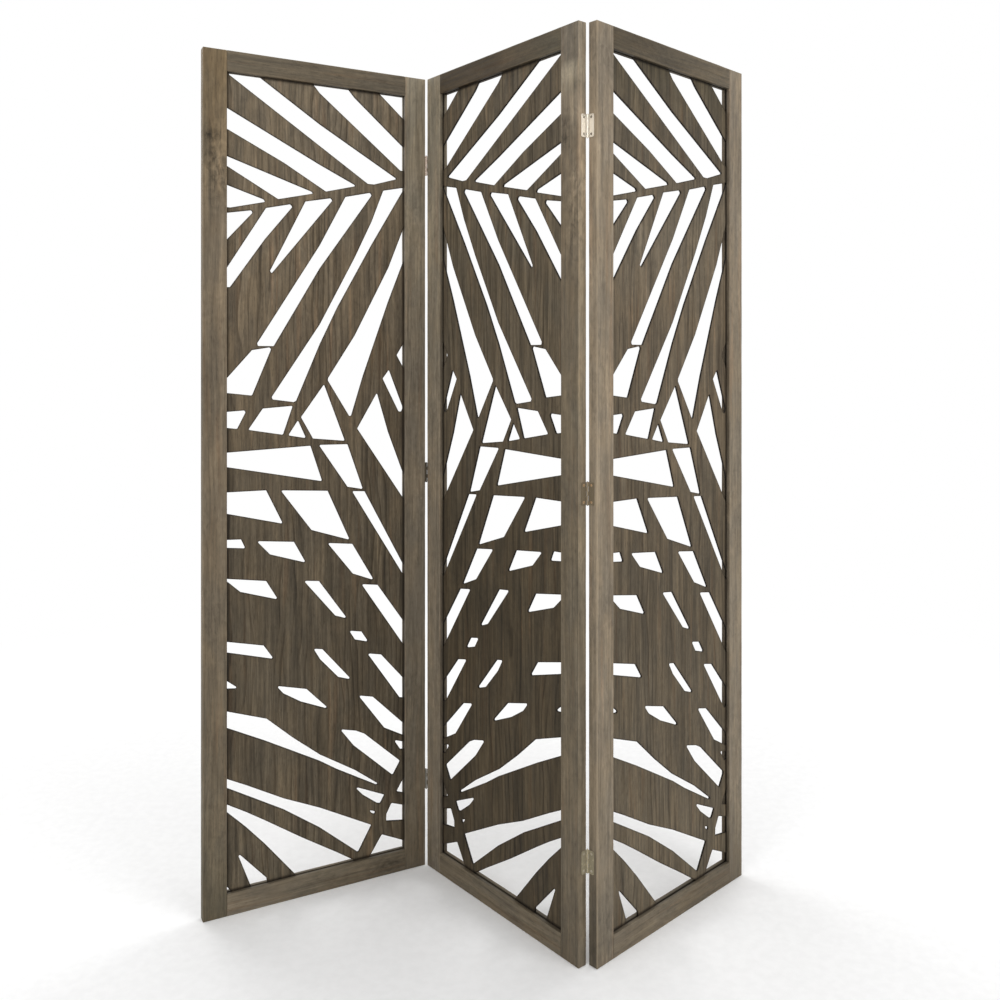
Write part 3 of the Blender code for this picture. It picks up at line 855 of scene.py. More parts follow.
@dataclass(frozen=True)
class AgedMetal:
    """Plated hinge steel, bright or dulled by stain.

    Attributes:
        name: the finish's name.
        plate: the plating's colour, in sRGB.
        film: the colour of the stain and tarnish on it, in sRGB.
        cover: how much of the plating the film hides, from 0 to 1.
        polish: the roughness of bare plating.
        dirt: how dark the grime and painted shade in the crease beside the barrel are, from 0 to 1.
        film_gloss: the roughness of the film.
        pitting: the share of light left in the plating's finest pits.
        reach: the distance from the pin's axis that the dirt's places are shares of.
    """

    name: str
    plate: Colour
    film: Colour
    cover: float
    polish: float
    dirt: float = 0.0
    film_gloss: float = 0.62
    pitting: float = 0.82
    reach: float = 0.01

    def material(self, axis: Floats | None = None) -> Material:
        """Builds the finish: film lies where broad and fine noise pass a level set by the cover.

        Where the mesh says that it is rubbed, most of the film is gone. A thin line of grime and
        painted shade follows the crease between leaf and barrel, at a set distance from the pin's
        axis.

        Args:
            axis: the x and y of the pin's axis, for a leaf.

        Returns:
            The material.
        """
        recipe = Recipe(self.name)
        place = recipe.place()
        broad = recipe.noise(place, TARNISH, 3.0, 0.6)
        fine = recipe.noise(place, PITS, 3.0, 0.7)
        both = recipe.sum("MULTIPLY_ADD", fine, 0.35, recipe.sum("MULTIPLY", broad, 0.65))
        level = FILM_LEVEL - FILM_FALL * self.cover
        film = recipe.ramp(both, [(max(level - 0.1, 0.0), 0.0), (level + 0.06, 1.0)])
        kept = recipe.sum("MULTIPLY_ADD", recipe.attribute(WEAR, "Fac"), -RUBBED_OFF, 1.0)
        film = recipe.sum("MULTIPLY", film, kept)
        body = recipe.mix(film, linear(self.plate), linear(self.film))
        body = recipe.scaled(body, recipe.ramp(fine, [(0.3, self.pitting), (0.7, 1.0)]))
        # A thin dark line of grime and painted shade along the crease beside the barrel.
        if axis is not None and self.dirt > 0:
            body = recipe.scaled(body, self.crease(recipe, axis))
        recipe.feed(recipe.shader.inputs["Base Color"], body)
        bare = recipe.sum("SUBTRACT", 1.0, film)
        recipe.feed(recipe.shader.inputs["Metallic"], recipe.sum("MULTIPLY_ADD", bare, 0.75, 0.15))
        worn = recipe.ramp(fine, [(0.3, self.polish), (0.7, self.polish + 0.16)])
        dull = (self.film_gloss, self.film_gloss, self.film_gloss, 1.0)
        recipe.feed(recipe.shader.inputs["Roughness"], recipe.mix(film, worn, dull))
        recipe.relief(both, 0.00012, 0.6)
        return recipe.material

    def crease(self, recipe: Recipe, axis: Floats) -> Socket:
        """How much light is left by the grime and painted shade in the crease beside the barrel.

        It falls and rises again with the distance from the pin's axis, sqrt((x - a)^2 + (y - b)^2).

        Args:
            recipe: the material.
            axis: the x and y of the pin's axis.

        Returns:
            The share, from 0 to 1.
        """
        flat = recipe.add("ShaderNodeMapping", vector_type="POINT")
        flat.inputs["Location"].default_value = (-axis[0], -axis[1], 0.0)
        flat.inputs["Scale"].default_value = (1.0, 1.0, 0.0)
        recipe.feed(flat.inputs["Vector"], recipe.place())
        away = recipe.add("ShaderNodeVectorMath", operation="LENGTH")
        recipe.feed(away.inputs[0], flat.outputs["Vector"])
        share = recipe.sum("DIVIDE", away.outputs["Value"], self.reach)
        left = 1 - self.dirt
        return recipe.ramp(share, [(0.24, 1.0), (0.32, left), (0.38, left), (0.48, 1.0)])


class Coat(Enum):
    """How light or dark the wood is laid, as a factor on the finish's colour: the stain's
    thickness and freshness, and painted light and shade as well.
    """

    BLEACHED = (1.52, 1.66, 1.78)
    THIN = (1.44, 1.48, 1.56)
    LIGHT = (1.24, 1.29, 1.36)
    GREYED = (1.06, 1.12, 1.20)
    EVEN = (1.0, 1.0, 1.0)
    ASHEN = (0.90, 0.95, 1.02)
    WARM = (0.92, 0.86, 0.73)
    FULL = (0.86, 0.89, 0.90)
    DEEP = (0.72, 0.74, 0.75)
    MOSSY = (0.58, 0.62, 0.60)
    BLACKENED = (0.49, 0.49, 0.46)
    TARRED = (0.37, 0.345, 0.30)


@dataclass(frozen=True)
class Smudge:
    """A soft mark in the stain, an ellipse whose factor fades out as a Gaussian.

    Attributes:
        across: its middle across the grain, from the board's first edge, in metres.
        along: its middle along the grain, from the board's first end, in metres.
        size: its spread across and along the grain, in metres.
        shade: the factor at its middle, below 1 for a dark mark.
        blotchy: how much more mottled the stain is there.
    """

    across: float
    along: float
    size: tuple[float, float]
    shade: float
    blotchy: float = 0.0

    def share(self, across: Floats, along: Floats) -> Floats:
        """How strong the mark is: exp(-(u squared + v squared) / 2), with each spread as 1.

        Args:
            across: the places across the grain.
            along: the places along the grain.

        Returns:
            A share from 0 to 1 for each place.
        """
        u, v = (across - self.across) / self.size[0], (along - self.along) / self.size[1]
        return np.exp(-(u**2 + v**2) / 2)


# How strong each wander of the stain is, and how far it is from one swell to the next.
SLOW_WANDER = (0.045, 0.3)
QUICK_WANDER = (0.03, 0.07)
MOTTLE_WANDER = (0.2, 0.25)
# How far the grain moves on from one seed to the next.
GRAIN_STEP = (1.37, 0.71, 2.93)


@dataclass(frozen=True)
class Staining:
    """How one board took its stain.

    Attributes:
        coats: the coats along the board, each from a share of its length.
        seed: picks its grain and its wander.
        smudges: its marks.
        edge: the factor on its outer edge, each from a share of its length, by which that edge is
        lighter or darker than the faces.
        rubbed: how far its front outer arris is rubbed through, from 0 to 1, which also lays a
        painted highlight along it.
    """

    coats: tuple[tuple[float, Coat], ...] = ((0.0, Coat.EVEN),)
    seed: int = 1
    smudges: tuple[Smudge, ...] = ()
    edge: tuple[tuple[float, float], ...] = ((0.0, 1.0),)
    rubbed: float = 0.35

    def tone(self, across: Floats, along: Floats, length: float) -> Floats:
        """The factor at places on the board, for its stain and for painted light and shade.

        It goes in straight lines from coat to coat, wanders by a few parts in a hundred along the
        board, and is multiplied by each smudge.

        Args:
            across: the places across the grain.
            along: the places along the grain.
            length: the board's length.

        Returns:
            A red, green and blue factor for each place.
        """
        shares = [share * length for share, _ in self.coats]
        factors = np.array([coat.value for _, coat in self.coats])
        parts = [np.interp(along, shares, factors[:, k]) for k in range(3)]
        slow = SLOW_WANDER[0] * drift(along, self.seed, SLOW_WANDER[1])
        quick = QUICK_WANDER[0] * drift(along + 3 * across, self.seed + 50, QUICK_WANDER[1])
        factor = 1 + slow + quick
        for smudge in self.smudges:
            factor = factor * (1 + (smudge.shade - 1) * smudge.share(across, along))
        return np.stack(parts, axis=-1) * factor[:, None]

    def mottle(self, across: Floats, along: Floats) -> Floats:
        """How mottled the stain is at each place: about a half, plus what each smudge adds.

        Args:
            across: the places across the grain.
            along: the places along the grain.

        Returns:
            One number for each place.
        """
        added = [smudge.blotchy * smudge.share(across, along) for smudge in self.smudges]
        wander = MOTTLE_WANDER[0] * drift(along, self.seed + 90, MOTTLE_WANDER[1])
        return sum(added, start=0.5 + wander)

    def edge_change(self, along: Floats, length: float) -> Floats:
        """How far the outer edge's factor is from 1, on straight lines from stop to stop.

        Args:
            along: the places along the grain.
            length: the board's length.

        Returns:
            The difference at each place.
        """
        shares, factors = np.array(self.edge).T
        return np.interp(along / length, shares, factors) - 1

    def worn(self, places: Floats, length: float, wear: Floats) -> dict[str, Floats]:
        """What a mesh carries for the wood's finish.

        Args:
            places: places across, through and along the board.
            length: the board's length.
            wear: how rubbed or how near a cut each place is, from 0 to 1.

        Returns:
            The values by name.
        """
        across, through, along = places.T
        return {
            GRAIN: self.grain(across, through, along),
            TONE: self.tone(across, along, length),
            MOTTLE: self.mottle(across, along),
            WEAR: wear,
        }

    def grain(self, across: Floats, through: Floats, along: Floats) -> Floats:
        """Grain coordinates: the place on the board, moved on by the seed so that no two match."""
        return np.stack([across, through, along], axis=-1) + self.seed * np.array(GRAIN_STEP)


# The painted shade at a place of the outline, deepest in the groove and on the inner walls, and
# whether that place is on the outer edge.
Dress = tuple[float, float]
FACE: Dress = (1.0, 0.0)
EDGE: Dress = (1.0, 1.0)
INNER: Dress = (0.85, 0.0)
NEAR_GROOVE: Dress = (0.72, 0.0)
MOUTH: Dress = (0.45, 0.0)
GROOVE: Dress = (0.2, 0.0)

# How rubbed a board is, which also lays a painted highlight, on the arrises beside its groove, on
# its rear outer arris and at its ends.
INNER_WEAR, REAR_WEAR, END_WEAR = 0.15, 0.3, 0.5


@dataclass(frozen=True)
class BoardSection:
    """A board's closed outline, with an eased arris at each corner and a groove in its far edge.

    Each point of the outline is a row of nine numbers: its place, how it moves as the arris radius
    grows, its outward normal, how rubbed it is, the painted shade there, deepest in the groove
    and on the inner walls, and whether it is on the outer edge.

    Attributes:
        width: the size across the grain.
        thickness: the size from face to face.
        groove_width: how wide the groove is.
        groove_depth: how deep it is.
        rubbed: how far the front outer arris is rubbed through, with a painted highlight on it.
        arris_steps: the points on each eased arris.
        face_points: the points across each face between the arrises.
        inner_points: the points between an arris and the groove.
        edge_points: the points across the outer edge.
        corner_room: how far the points of a straight stretch keep off its corners.
    """

    width: float
    thickness: float
    groove_width: float
    groove_depth: float
    rubbed: float = 0.0
    arris_steps: int = 5
    face_points: int = 11
    inner_points: int = 3
    edge_points: int = 5
    corner_room: float = 0.0022

    def arris(
        self,
        corner: tuple[float, float],
        start: float,
        wear: float = 0.0,
        first: Dress = FACE,
        last: Dress = FACE,
    ) -> Floats:
        """A quarter circle at a corner.

        Its point at angle t lies at corner + r ((cos t, sin t) - d0 - d1), where d0 and d1 point
        along its first and last normal and r is the arris radius, which comes later.

        Args:
            corner: the sharp corner.
            start: the angle of its first normal.
            wear: how rubbed it is.
            first: the shade and edge share where it starts.
            last: the same where it ends.

        Returns:
            Rows of nine numbers.
        """
        angles = start + np.linspace(0, np.pi / 2, self.arris_steps)
        normal = np.stack([np.cos(angles), np.sin(angles)], axis=-1)
        ease = normal - normal[0] - normal[-1]
        place = np.broadcast_to(corner, normal.shape)
        worn = np.full((len(angles), 1), wear)
        dress = np.linspace(first, last, len(angles))
        return np.concatenate([place, ease, normal, worn, dress], axis=1)

    def flat(
        self,
        start: tuple[float, float],
        end: tuple[float, float],
        points: int,
        first: Dress = FACE,
        last: Dress = FACE,
    ) -> Floats:
        """Points on a straight stretch, evenly spaced and kept off its two corners.

        The one at share s lies at start + s (end - start). Its outward normal lies a quarter turn
        clockwise from the way the stretch runs.

        Args:
            start: its first corner.
            end: its last corner.
            points: how many points it has.
            first: the shade and edge share where it starts.
            last: the same where it ends.

        Returns:
            Rows of nine numbers.
        """
        run = np.subtract(end, start)
        length = np.linalg.norm(run)
        share = np.linspace(self.corner_room, length - self.corner_room, points)[:, None] / length
        rows = np.zeros((points, 9))
        rows[:, :2] = np.array(start) + share * run
        rows[:, 4:6] = np.array([run[1], -run[0]]) / length
        rows[:, 7:] = np.linspace(first, last, points)
        return rows

    def notch(self) -> Floats:
        """The groove's four corners, each moving along its mitre as the section shrinks.

        Returns:
            Rows of nine numbers.
        """
        half, floor = self.groove_width / 2, self.width - self.groove_depth
        return np.array(
            [
                [self.width, -half, 0, 0, 1, 1, 0, *MOUTH],
                [floor, -half, 0, 0, 1, 1, 0, *GROOVE],
                [floor, half, 0, 0, 1, -1, 0, *GROOVE],
                [self.width, half, 0, 0, 1, -1, 0, *MOUTH],
            ]
        )

    def rows(self) -> Floats:
        """The whole outline, anticlockwise from the front outer arris.

        Returns:
            Rows of nine numbers.
        """
        width, half, groove = self.width, self.thickness / 2, self.groove_width / 2
        quarter, across, inner = np.pi / 2, self.face_points, self.inner_points
        return np.concatenate(
            [
                self.arris((0.0, -half), 2 * quarter, self.rubbed, EDGE, FACE),
                self.flat((0.0, -half), (width, -half), across),
                self.arris((width, -half), 3 * quarter, INNER_WEAR, FACE, INNER),
                self.flat((width, -half), (width, -groove), inner, INNER, NEAR_GROOVE),
                self.notch(),
                self.flat((width, groove), (width, half), inner, NEAR_GROOVE, INNER),
                self.arris((width, half), 0.0, INNER_WEAR, INNER, FACE),
                self.flat((width, half), (0.0, half), across),
                self.arris((0.0, half), quarter, REAR_WEAR, FACE, EDGE),
                self.flat((0.0, half), (0.0, -half), self.edge_points, EDGE, EDGE),
            ]
        )


@dataclass
class Board:
    """One stile or rail.

    Attributes:
        staining: how it took its stain.
        section: its outline.
        length: its length between its ends.
        end_ease: how far its ends are rounded.
        arris_radius: the middle radius of its arrises.
        pitch: how far apart its outlines stand.
        band: the width of the flat band round each end's face.
        least_radius: what is left of an arris where the outline is shrunk most.
        end_steps: the outlines that round each end.
        sanding: how much the arris radius wanders, and how far it is from swell to swell.
    """

    staining: Staining
    section: BoardSection
    length: float
    end_ease: float
    arris_radius: float = 0.0011
    pitch: float = 0.009
    band: float = 0.0004
    least_radius: float = 0.0003
    end_steps: int = 5
    sanding: tuple[float, float] = (0.3, 0.09)

    def surface(self) -> Surface:
        """The board's shape, with the grain along its third axis.

        Near an end, at an angle t from 0 to 90 degrees, the outline lies e (1 - cos t) in from the
        end and is shrunk by e (1 - sin t), with e the end's ease. On the end itself one more
        outline is shrunk by the band's width. Between the ends the arris radius wanders, as hand
        sanding leaves it, and it is never less than what the outline is shrunk by.

        Returns:
            The surface in board axes, with grain, tone and wear.
        """
        rows = self.section.rows()
        turn = np.linspace(0, np.pi / 2, self.end_steps)
        head = np.append(0.0, self.end_ease * (1 - np.cos(turn)))
        count = int(self.length / self.pitch) + 1
        middle = np.linspace(self.end_ease, self.length - self.end_ease, count)
        stations = np.concatenate([head[:-1], middle, self.length - head[-2::-1]])
        shrink = np.zeros_like(stations)
        inward = self.end_ease * (1 - np.sin(turn))
        shrink[: len(head)] = np.append(self.end_ease + self.band, inward)
        shrink[-len(head) :] = shrink[: len(head)][::-1]
        wander, spacing = self.sanding
        radius = self.arris_radius * (1 + wander * drift(stations, self.staining.seed + 7, spacing))
        radius = np.maximum(radius, shrink + self.least_radius)
        outlines = rows[None, :, :2] + radius[:, None, None] * rows[None, :, 2:4]
        outlines = outlines - shrink[:, None, None] * rows[None, :, 4:6]
        shape = carried(outlines, stations)
        pull = np.repeat(shrink, len(rows))
        # shade is painted shade, deepest in the groove and on the inner walls; the end faces take
        # none.
        wear, shade, edge = np.tile(rows[:, 6:], (len(stations), 1)).T
        shade = np.where(pull > self.end_ease, 1.0, shade)
        shade = shade * (1 + edge * self.staining.edge_change(shape.places[:, 2], self.length))
        wear = np.where(pull > 0, END_WEAR, wear)
        shape.values = self.staining.worn(shape.places, self.length, wear)
        shape.values[TONE] *= shade[:, None]
        count, face = len(rows), self.end_face(rows)
        bands = [*shape.quads[:count], *shape.quads[-count:]]
        far = count * (len(stations) - 1)
        shape.quads = shape.quads[count:-count]
        shape.caps = bands + [part[::-1] for part in face] + [part + far for part in face]
        shape.second_caps = True
        return shape

    def end_face(self, rows: Floats) -> list[Whole]:
        """The parts of an end's face, each of them convex.

        Point i of the outline faces point m - i across the board, where m is one less than twice
        the points up to the groove's floor. A part lies along the outer edge, strips cross the
        solid wood, a plate reaches the groove's floor, and a cheek stands on each side of it.

        Args:
            rows: the outline's rows.

        Returns:
            The corners of each part, anticlockwise.
        """
        section = self.section
        start = section.arris_steps
        floor = 2 * section.arris_steps + section.face_points + section.inner_points + 1
        most = 2 * floor + 1
        reach = section.width - section.groove_depth - self.end_ease - self.band
        last = int(np.flatnonzero(rows[: start + section.face_points, 0] < reach)[-1])
        near = np.arange(start, last)
        strips = np.stack([near, near + 1, most - near - 1, most - near], axis=-1)
        return [
            np.concatenate([np.arange(start + 1), np.arange(most - start, len(rows))]),
            *strips,
            np.array([last, floor, floor + 1, most - last]),
            np.arange(last, floor + 1),
            np.arange(floor + 1, most - last + 1),
        ]


def lone_edges(triangles: Whole, count: int) -> Whole:
    """The edges that only one of some triangles has.

    An edge from point i to point j has the key i n + j, with n the number of points. It stands
    alone where no triangle has the key j n + i.

    Args:
        triangles: the triangles, all turning the same way.
        count: how many points there are.

    Returns:
        The edges as pairs of indices.
    """
    edges = np.concatenate([triangles[:, [0, 1]], triangles[:, [1, 2]], triangles[:, [2, 0]]])
    forward, back = edges[:, 0] * count + edges[:, 1], edges[:, 1] * count + edges[:, 0]
    return edges[~np.isin(forward, back)]


# How near the front face a point of it lies, how fine places are told apart, how many points are
# measured at once, how near points are merged, and the least area, doubled, of a kept triangle.
NEAR = 1e-5
KEYS_PER_METRE = 1e6
POINTS_AT_ONCE = 2000
MERGE_DISTANCE = 1e-8
LEAST_SPIN = 1e-13


@dataclass
class FretBoard:
    """A panel's thin board with the palm-leaf cut-outs.

    Its outline is the frame node's own, with points added along it. Both faces are divided afresh,
    and their edges are eased.

    Attributes:
        panel: the panel that holds it.
        staining: how it took its stain.
        ease: how far its edges are rounded.
        step: the longest stretch of outline between two points.
        mesh_size: how far apart the points inside the wood are.
        rows: the distances from the outline at which points are laid beside it.
        rim: how far in from the outline the darker rim fades out.
        rim_fullness: how strong the rim would be on the outline, if it weren't held at 1.
        clearance: how far the points inside the wood keep from the outline.
        crowding: the share of its distance that a point has to keep, or it is left out.
        probe: how far beside the outline the wood is looked for.
    """

    panel: Panel
    staining: Staining
    ease: float = 0.0005
    step: float = 0.005
    mesh_size: float = 0.012
    rows: tuple[float, ...] = (0.0002, 0.0005, 0.0012, 0.0028)
    rim: float = 0.0028
    rim_fullness: float = 1.3
    clearance: float = 0.004
    crowding: float = 0.9
    probe: float = 1e-4

    @property
    def node(self) -> str:
        """The frame node that it stands for."""
        return f"{self.panel.value}_panel_infill"

    def outline(self, places: Floats, triangles: Whole) -> tuple[Floats, Floats]:
        """The front face's outline, as the edges that only one of its triangles has.

        Args:
            places: the welded node in panel axes.
            triangles: its triangles.

        Returns:
            The start and end of each stretch, across and up, with wood on its one side throughout.
        """
        front = places[:, 1].min() + NEAR
        face = triangles[(places[triangles, 1] < front).all(axis=1)]
        edges = lone_edges(face, len(places))
        flat = places[:, [0, 2]]
        return flat[edges[:, 0]], flat[edges[:, 1]]

    def divided(self, starts: Floats, ends: Floats) -> tuple[Floats, Whole]:
        """The outline with points no farther apart than the step.

        Stretch i of n parts has its points at start + (end - start) k / n, for k from 0 to n - 1.

        Args:
            starts: the start of each stretch.
            ends: the end of each stretch.

        Returns:
            The points, and the new stretches as pairs of indices.
        """
        run = ends - starts
        parts = np.maximum(np.ceil(np.linalg.norm(run, axis=1) / self.step).astype(int), 1)
        owner = np.repeat(np.arange(len(starts)), parts)
        first = np.concatenate([[0], np.cumsum(parts)[:-1]])
        k = np.arange(parts.sum()) - first[owner]
        points = starts[owner] + run[owner] * (k / parts[owner])[:, None]
        keys = [np.round(tips * KEYS_PER_METRE).astype(int) for tips in (starts, ends)]
        index_of = {tuple(key): int(index) for key, index in zip(keys[0], first)}
        following = np.array([index_of[tuple(key)] for key in keys[1]])
        after = np.where(k + 1 < parts[owner], np.arange(len(points)) + 1, following[owner])
        return points, np.stack([np.arange(len(points)), after], axis=1)

    @staticmethod
    def distance(points: Floats, starts: Floats, ends: Floats) -> Floats:
        """How far each point is from the nearest stretch.

        The nearest place on a stretch is start + t (end - start), with t the projection kept
        between 0 and 1.

        Args:
            points: the places.
            starts: the start of each stretch.
            ends: the end of each stretch.

        Returns:
            One distance for each point.
        """
        run = ends - starts
        length = (run**2).sum(axis=1)
        nearest = []
        for part in np.array_split(points, max(len(points) // POINTS_AT_ONCE, 1)):
            gap = part[:, None] - starts
            t = np.clip((gap * run).sum(axis=2) / length, 0, 1)
            nearest.append(np.sqrt(((gap - t[..., None] * run) ** 2).sum(axis=2).min(axis=1)))
        return np.concatenate(nearest)

    @staticmethod
    def in_wood(points: Floats, starts: Floats, ends: Floats) -> NDArray[np.bool_]:
        """Which points are in the wood: a ray along +X crosses an odd number of stretches.

        It crosses one from (x0, y0) to (x1, y1) at x0 + (y - y0) / (y1 - y0) (x1 - x0).

        Args:
            points: the places.
            starts: the start of each stretch of outline.
            ends: the end of each stretch.

        Returns:
            Whether each point is in the wood.
        """
        inside = []
        for part in np.array_split(points, max(len(points) // POINTS_AT_ONCE, 1)):
            x, y = part[:, 0, None], part[:, 1, None]
            cross = (starts[:, 1] > y) != (ends[:, 1] > y)
            rise = np.where(ends[:, 1] == starts[:, 1], 1.0, ends[:, 1] - starts[:, 1])
            meet = starts[:, 0] + (y - starts[:, 1]) / rise * (ends[:, 0] - starts[:, 0])
            inside.append((cross & (x < meet)).sum(axis=1) % 2 == 1)
        return np.concatenate(inside)

    def surface(self, axes: PanelAxes) -> Surface:
        """The board's shape in panel axes.

        Args:
            axes: where the panel stands.

        Returns:
            The surface, with grain, tone and wear, and its walls as quads.
        """
        places, triangles = welded_node(self.node)
        places = axes.to_panel(places)
        front, rear = places[:, 1].min(), places[:, 1].max()
        starts, ends = self.outline(places, triangles)
        rim_points, stretches = self.divided(starts, ends)
        first, last = rim_points[stretches[:, 0]], rim_points[stretches[:, 1]]
        run = last - first
        normal = np.stack([-run[:, 1], run[:, 0]], axis=1) / np.linalg.norm(run, axis=1)[:, None]
        middle = (first + last) / 2
        if not self.in_wood(middle + self.probe * normal, starts, ends).mean() > 0.5:
            normal = -normal
        beside = [middle + normal * row for row in self.rows]
        grid = self.grid(rim_points.min(axis=0), rim_points.max(axis=0))
        counts = [len(middle)] * len(self.rows) + [len(grid)]
        wanted = np.repeat([*self.rows, self.clearance], counts)
        inner = np.concatenate(beside + [grid])
        clear = self.distance(inner, starts, ends)
        inner = inner[(clear > self.crowding * wanted) & self.in_wood(inner, starts, ends)]
        flat = np.concatenate([rim_points, inner])
        made = delaunay_2d_cdt(flat.tolist(), stretches.tolist(), [], 0, MERGE_DISTANCE)
        points, faces = np.array(made[0]), np.array(made[2])
        faces = faces[self.in_wood(points[faces].mean(axis=1), starts, ends)]
        first, second, third = (points[faces[:, corner]] for corner in range(3))
        spin = np.cross(second - first, third - first)
        faces = np.where((spin > 0)[:, None], faces, faces[:, ::-1])[np.abs(spin) > LEAST_SPIN]
        return self.thickened(points, faces, front, rear, starts, ends)

    def grid(self, low: Floats, high: Floats) -> Floats:
        """Points over the whole board, in rows of which every second one is moved half a step.

        Point i of row j lies at low + m (i + (j mod 2) / 2, j), with m the mesh size.

        Args:
            low: the outline's lowest corner, across and up.
            high: its highest corner.

        Returns:
            The points.
        """
        steps = [np.arange(low[k], high[k], self.mesh_size) for k in range(2)]
        grid = np.stack(np.meshgrid(*steps), -1).reshape(-1, 2)
        grid[:, 0] += self.mesh_size / 2 * (np.round((grid[:, 1] - low[1]) / self.mesh_size) % 2)
        return grid

    def thickened(
        self, points: Floats, faces: Whole, front: float, rear: float, starts: Floats, ends: Floats
    ) -> Surface:
        """Two faces back to back, joined by walls along the edges that only one triangle has.

        At a distance d from the outline a face lies e (1 - min(d / e, 1)) squared below its flat,
        with e the ease.

        Args:
            points: the places across and up.
            faces: anticlockwise triangles of them.
            front: where the front face lies.
            rear: where the rear face lies.
            starts: the start of each stretch of outline.
            ends: the end of each stretch.

        Returns:
            The surface.
        """
        away = self.distance(points, starts, ends)
        sink = self.ease * (1 - np.minimum(away / self.ease, 1)) ** 2
        count = len(points)
        x, up = points.T
        both = np.concatenate(
            [np.stack([x, front + sink, up], axis=1), np.stack([x, rear - sink, up], axis=1)]
        )
        start, end = lone_edges(faces, count).T
        walls = np.stack([start, start + count, end + count, end], axis=1)
        triangles = np.concatenate([faces, faces[:, ::-1] + count])
        shape = Surface(both, walls, triangles, second_quads=True)
        low, high = both.min(axis=0), both.max(axis=0)
        share = 1 - np.concatenate([away, away]) / self.rim
        fade = np.clip(self.rim_fullness * share, 0, 1)
        shape.values = self.staining.worn(both - low, high[2] - low[2], fade)
        shape.values[FRAMED] = both - (low + high) / 2
        return shape


# The angles, in degrees, past which an edge shades as an edge.
WOOD_SHARP = 40.0
FRET_SHARP = 35.0
LEAF_SHARP = 32.0
PIN_SHARP = 50.0
SCREW_SHARP = 38.0
FLOOR_SHARP = 60.0


def dressed(
    shape: Surface,
    node: str,
    panel: Panel,
    finishes: Sequence[Material],
    sharp: float,
) -> Piece:
    """Makes a piece of a shape in the world, in place of its node.

    Args:
        shape: the shape.
        node: the frame node.
        panel: the panel that carries it.
        finishes: its materials.
        sharp: the angle past which an edge is sharp.

    Returns:
        The piece.
    """
    piece = shape.outward().build(f"dressed_{node}", finishes, sharp)
    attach(piece, panel.body)
    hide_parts(node)
    return piece


